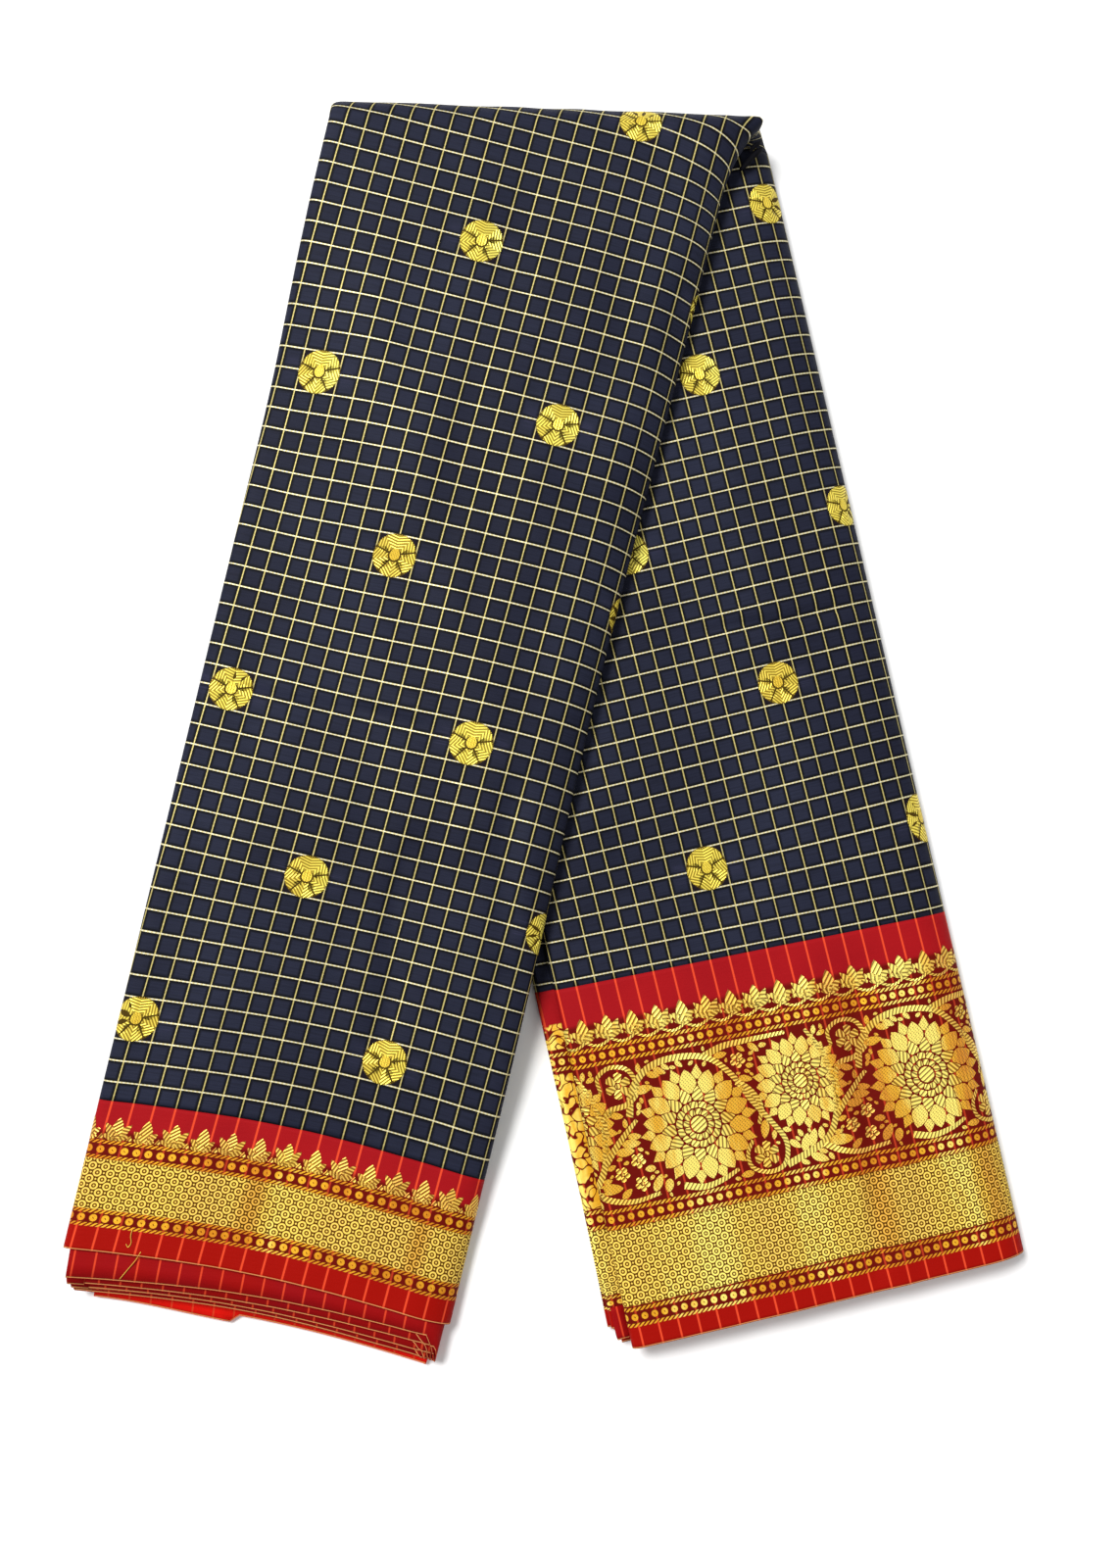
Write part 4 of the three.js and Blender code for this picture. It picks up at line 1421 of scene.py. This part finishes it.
LOTUS_PETALS = 14
VINE_PITCH = 116.0
VINE_TOP, VINE_BOTTOM = 40.0, 106.8
LOTUSES = (((24, 76.0), 25.5, 0.2), ((78, 66), 21.0, 0.5))  # place, size, turn
BLOOMS = (((53, 97.0), 6.4), ((106, 50.5), 6.4))
SMALL_FLOWERS = (((50, 50), 4.0), ((98, 92), 3.8), ((107, 87), 3.8), ((106.5, 98), 3.8))
STEMS = (
    ((-8, 66), (-4, 54), (6, 45), (20, 42.5), (36, 46), (46, 57), (52, 70), (59, 82), (64, 93), (61, 103),
     (53, 105.5), (45, 102), (44, 95), (48, 89)),
    ((34, 45), (44, 42), (55, 41.5), (66, 41.5), (76, 41.5)),
    ((47, 60), (53, 66), (56, 74), (53, 82)),
    ((62, 104), (72, 101), (84, 96), (91, 86), (94, 73), (98, 62), (108, 60), (115, 54), (112.5, 44),
     (104, 41.2), (97, 45), (97, 52)),
    ((91, 86), (99, 78), (106, 72), (111, 68)),
    ((95, 73), (93, 60), (90, 50), (86, 42)),
    ((82, 98), (90, 103), (101, 105.5), (114, 104)),
    ((10, 103), (20, 105.5), (30, 104), (38, 101)),
)
LEAF_SPACING = 5.4
LEAF_SIZES = ((12.0, 0.44), (9.0, 0.46), (6.5, 0.5), (4.5, 0.55))  # length, width to length
FILLER_SIZES = (4.2, 3.3, 2.6, 2.0, 1.5, 1.15)
FILLER_TRIES = 1500
SPREAD_X, SPREAD_Y = 0.6180339887, 0.7548776662  # steps that spread points evenly over a strip
STEM_WIDTH = 3.4


class VinePlan:
    """One repeat of the vine: what is drawn, and which spots are taken."""

    def __init__(self):
        self.leaves, self.taken = [], []
        for place, size, _ in LOTUSES:
            self.take(place, size * 1.10)
        for place, radius in BLOOMS + SMALL_FLOWERS:
            self.take(place, radius + 0.5)
        self.stems = [smooth_curve(stem) for stem in STEMS]
        for curve in self.stems:
            for point in curve:
                self.take(point, STEM_WIDTH / 2 + 0.25)
        for curve in self.stems:
            self.grow_leaves(curve)
        self.fill()

    def take(self, place, radius):
        for shift in (-VINE_PITCH, 0, VINE_PITCH):
            self.taken.append((place[0] + shift, place[1], radius))

    def room(self, place):
        spots = np.array(self.taken)
        nearest = (np.hypot(spots[:, 0] - place[0], spots[:, 1] - place[1]) - spots[:, 2]).min()
        return min(float(nearest), place[1] - VINE_TOP, VINE_BOTTOM - place[1])

    def leaf(self, root, angle, size, plump):
        self.leaves.append((size, plump, angle, root))
        for share in (0.3, 0.6, 0.85):
            half = size * plump * 0.5 * math.sin(math.pi * share**0.8)
            self.take(root + heading(angle) * size * share, half + 0.15)

    def grow_leaves(self, curve):
        length = run_along(curve)
        side = 1
        for at in np.arange(LEAF_SPACING * 0.6, length[-1], LEAF_SPACING / 2):
            i = min(int(np.searchsorted(length, at)), len(curve) - 2)
            ahead = curve[i + 1] - curve[i]
            along = math.atan2(ahead[1], ahead[0]) - math.pi / 2
            side = -side
            angle = along + side * math.radians(46)
            root = curve[i] + heading(along + side * math.pi / 2) * STEM_WIDTH / 2
            for size, plump in LEAF_SIZES:
                forward = heading(angle) * size
                if self.room(root + forward) > 0.3 and self.room(root + forward * 0.62) > size * plump * 0.46:
                    self.leaf(root, angle, size, plump)
                    break

    def fill(self):
        """Small buds wherever there is room left, largest first, each turned a little differently."""
        for size in FILLER_SIZES:
            for i in range(FILLER_TRIES):
                down = lerp(VINE_TOP, VINE_BOTTOM, i * SPREAD_Y % 1)
                place = np.array([(i * SPREAD_X % 1) * VINE_PITCH, down])
                if self.room(place) > size * 0.86:
                    angle = 0.9 * math.sin(place[0] / 9.0) + 2.4 * math.cos(place[1] / 13.0)
                    self.leaves.append((2 * size, 0.62, angle, place - heading(angle) * size))
                    self.take(place, size * 0.86)


def vine(piece, span):
    """The lotus vine: flowers, stems that curl past them, leaves, and buds in the gaps."""
    plan = VinePlan()
    for k in range(int(span[0] // VINE_PITCH) - 1, int(span[1] // VINE_PITCH) + 2):
        shift = np.array([k * VINE_PITCH, 0.0])
        for place, size, facing in LOTUSES:
            lotus(piece, place + shift, size, facing)
        for place, radius in BLOOMS:
            round_bloom(piece, place + shift, radius)
        for place, radius in SMALL_FLOWERS:
            small_flower(piece, place + shift, radius)
        for curve in plan.stems:
            piece.ribbon(curve + shift, STEM_WIDTH)
        for size, plump, angle, root in plan.leaves:
            piece.put(pointed_petal(size, size * plump), angle, root + shift, None)


def border_brocade(leg, pitch, base, size, swag, material):
    """A border's motifs: its garland, and on the wide border the vine."""
    piece = Brocade(borders[leg], (1, 1))
    across = borders[leg].weave[..., 0]
    span = float(across.min()), float(across.max())
    garland(piece, pitch, base, size, swag, span)
    if leg == "back":
        vine(piece, span)
    piece.make(leg + "_border_motifs", material, "red_border")


for leg in LEGS:
    scatter_flowers(leg)
border_brocade("front", 12.9, 17.8, 10.4, 0, warm_brocade)
border_brocade("back", 12.4, 26.4, 10.6, 2.4, brocade)


# Loose ends and the tuck at the corner


def tube(name, lines, material):
    """Round threads along lists of points; each line is a list of (x, y, z, radius)."""
    vertices, faces = [], []
    turns = 2 * np.pi * np.arange(TUBE_SIDES)[:, None] / TUBE_SIDES
    for points in lines:
        curve = smooth_curve(points)
        ahead = np.gradient(curve[:, :3], axis=0)
        aside = np.cross(ahead, [0.0, 0.0, 1.0])
        upward = np.cross(aside, ahead)
        aside /= np.linalg.norm(aside, axis=1, keepdims=True)
        upward /= np.linalg.norm(upward, axis=1, keepdims=True)
        faces += tube_faces(len(curve), TUBE_SIDES, len(vertices))
        for point, side, up in zip(curve, aside, upward):
            vertices += list(point[:3] + (side * np.cos(turns) + up * np.sin(turns)) * point[3])
    obj = new_object(name, vertices, faces, material)
    for layer in ("weave", "satin", "spread"):
        add_uv(obj.data, layer, np.full((len(vertices), 2), 0.5))


LOOSE_THREADS = (
    ((-194.6, -203.6, 15.9, 0.2), (-195.2, -206.5, 16.1, 0.2), (-195.0, -209.5, 15.9, 0.2),
     (-196.3, -211.4, 15.9, 0.22), (-197.2, -210.0, 16.0, 0.2)),
    ((-190.6, -213.6, 16.0, 0.2), (-193.0, -217.4, 15.1, 0.2), (-196.5, -221.6, 14.4, 0.2),
     (-200.2, -226.0, 14.3, 0.18)),
)
CORNER_TUCK = (
    ((88.0, 301.0, 17.6, 0.8), (91.0, 304.0, 17.6, 1.4), (93.5, 307.0, 17.8, 1.3), (95.6, 309.4, 17.6, 1.7),
     (97.6, 311.4, 17.0, 1.2), (98.6, 313.0, 16.6, 0.5)),
    ((92.0, 309.0, 19.6, 0.6), (94.2, 311.6, 19.8, 1.2), (96.4, 313.4, 19.2, 1.1), (97.8, 315.4, 18.4, 0.4)),
)

tube("loose_threads", LOOSE_THREADS, warm_brocade)
# the tuck is painted shade: a dark piece where the fold's corner lies in shade
tube("corner_tuck", CORNER_TUCK, painted_shade_silk)


# Camera, light and floor

LENS = 33.75  # millimetres, on a sensor 36 mm along the photograph's long side
CAMERA_TILT = (math.radians(3.9), math.radians(4.0))  # towards the left and towards the hems
CAMERA_REACH = 699.0
TARGET_Z = 10.0


def place_camera():
    across, along = (-math.sin(t) for t in CAMERA_TILT)
    back = Vector((across, along, math.sqrt(1 - across**2 - along**2)))
    target = Vector((-PLAN_MIDDLE[0], -PLAN_MIDDLE[1], TARGET_Z)) / 1000
    right = Vector((0, 1, 0)).cross(back).normalized()
    up = back.cross(right)
    data = bpy.data.cameras.new("camera")
    data.lens = LENS
    data.sensor_fit = "VERTICAL"
    data.sensor_height = 36.0
    camera = bpy.data.objects.new("camera", data)
    rotation = Matrix((right, up, back)).transposed().to_4x4()
    camera.matrix_world = Matrix.Translation(target + back * CAMERA_REACH / 1000) @ rotation
    bpy.context.scene.collection.objects.link(camera)
    bpy.context.scene.camera = camera


def area_light(name, place, target, size, power):
    data = bpy.data.lights.new(name, "AREA")
    data.shape = "RECTANGLE"
    data.size, data.size_y = size
    data.energy = power
    lamp = bpy.data.objects.new(name, data)
    lamp.location = place
    lamp.rotation_mode = "QUATERNION"
    lamp.rotation_quaternion = (Vector(place) - Vector(target)).to_track_quat("Z", "Y")
    bpy.context.scene.collection.objects.link(lamp)


def light_scene():
    world = bpy.data.worlds.new("studio")
    world.use_nodes = True
    world.node_tree.nodes["Background"].inputs["Color"].default_value = (1.0, 1.0, 1.0, 1)
    world.node_tree.nodes["Background"].inputs["Strength"].default_value = 0.36
    bpy.context.scene.world = world
    bpy.context.scene.view_settings.view_transform = "Standard"
    area_light("key", (-2.0, 1.8, 3.6), (0, 0, 0), (1.8, 1.4), 245)
    area_light("fill", (0.9, -0.5, 1.3), (0, 0, 0), (1.2, 1.2), 4)


def floor_material():
    recipe = Recipe("pale_floor")
    tone = recipe.mix(recipe.object_noise(3.0), (0.90, 0.90, 0.90), (0.94, 0.94, 0.93))
    recipe.surface(tone, 0.8)
    return recipe.material


def make_floor():
    mesh = bpy.data.meshes.new("floor")
    work = bmesh.new()
    bmesh.ops.create_grid(work, x_segments=1, y_segments=1, size=3.0)
    work.to_mesh(mesh)
    work.free()
    floor = bpy.data.objects.new("floor", mesh)
    floor.location.z = -0.0004
    mesh.materials.append(floor_material())
    bpy.context.scene.collection.objects.link(floor)


place_camera()
light_scene()
make_floor()
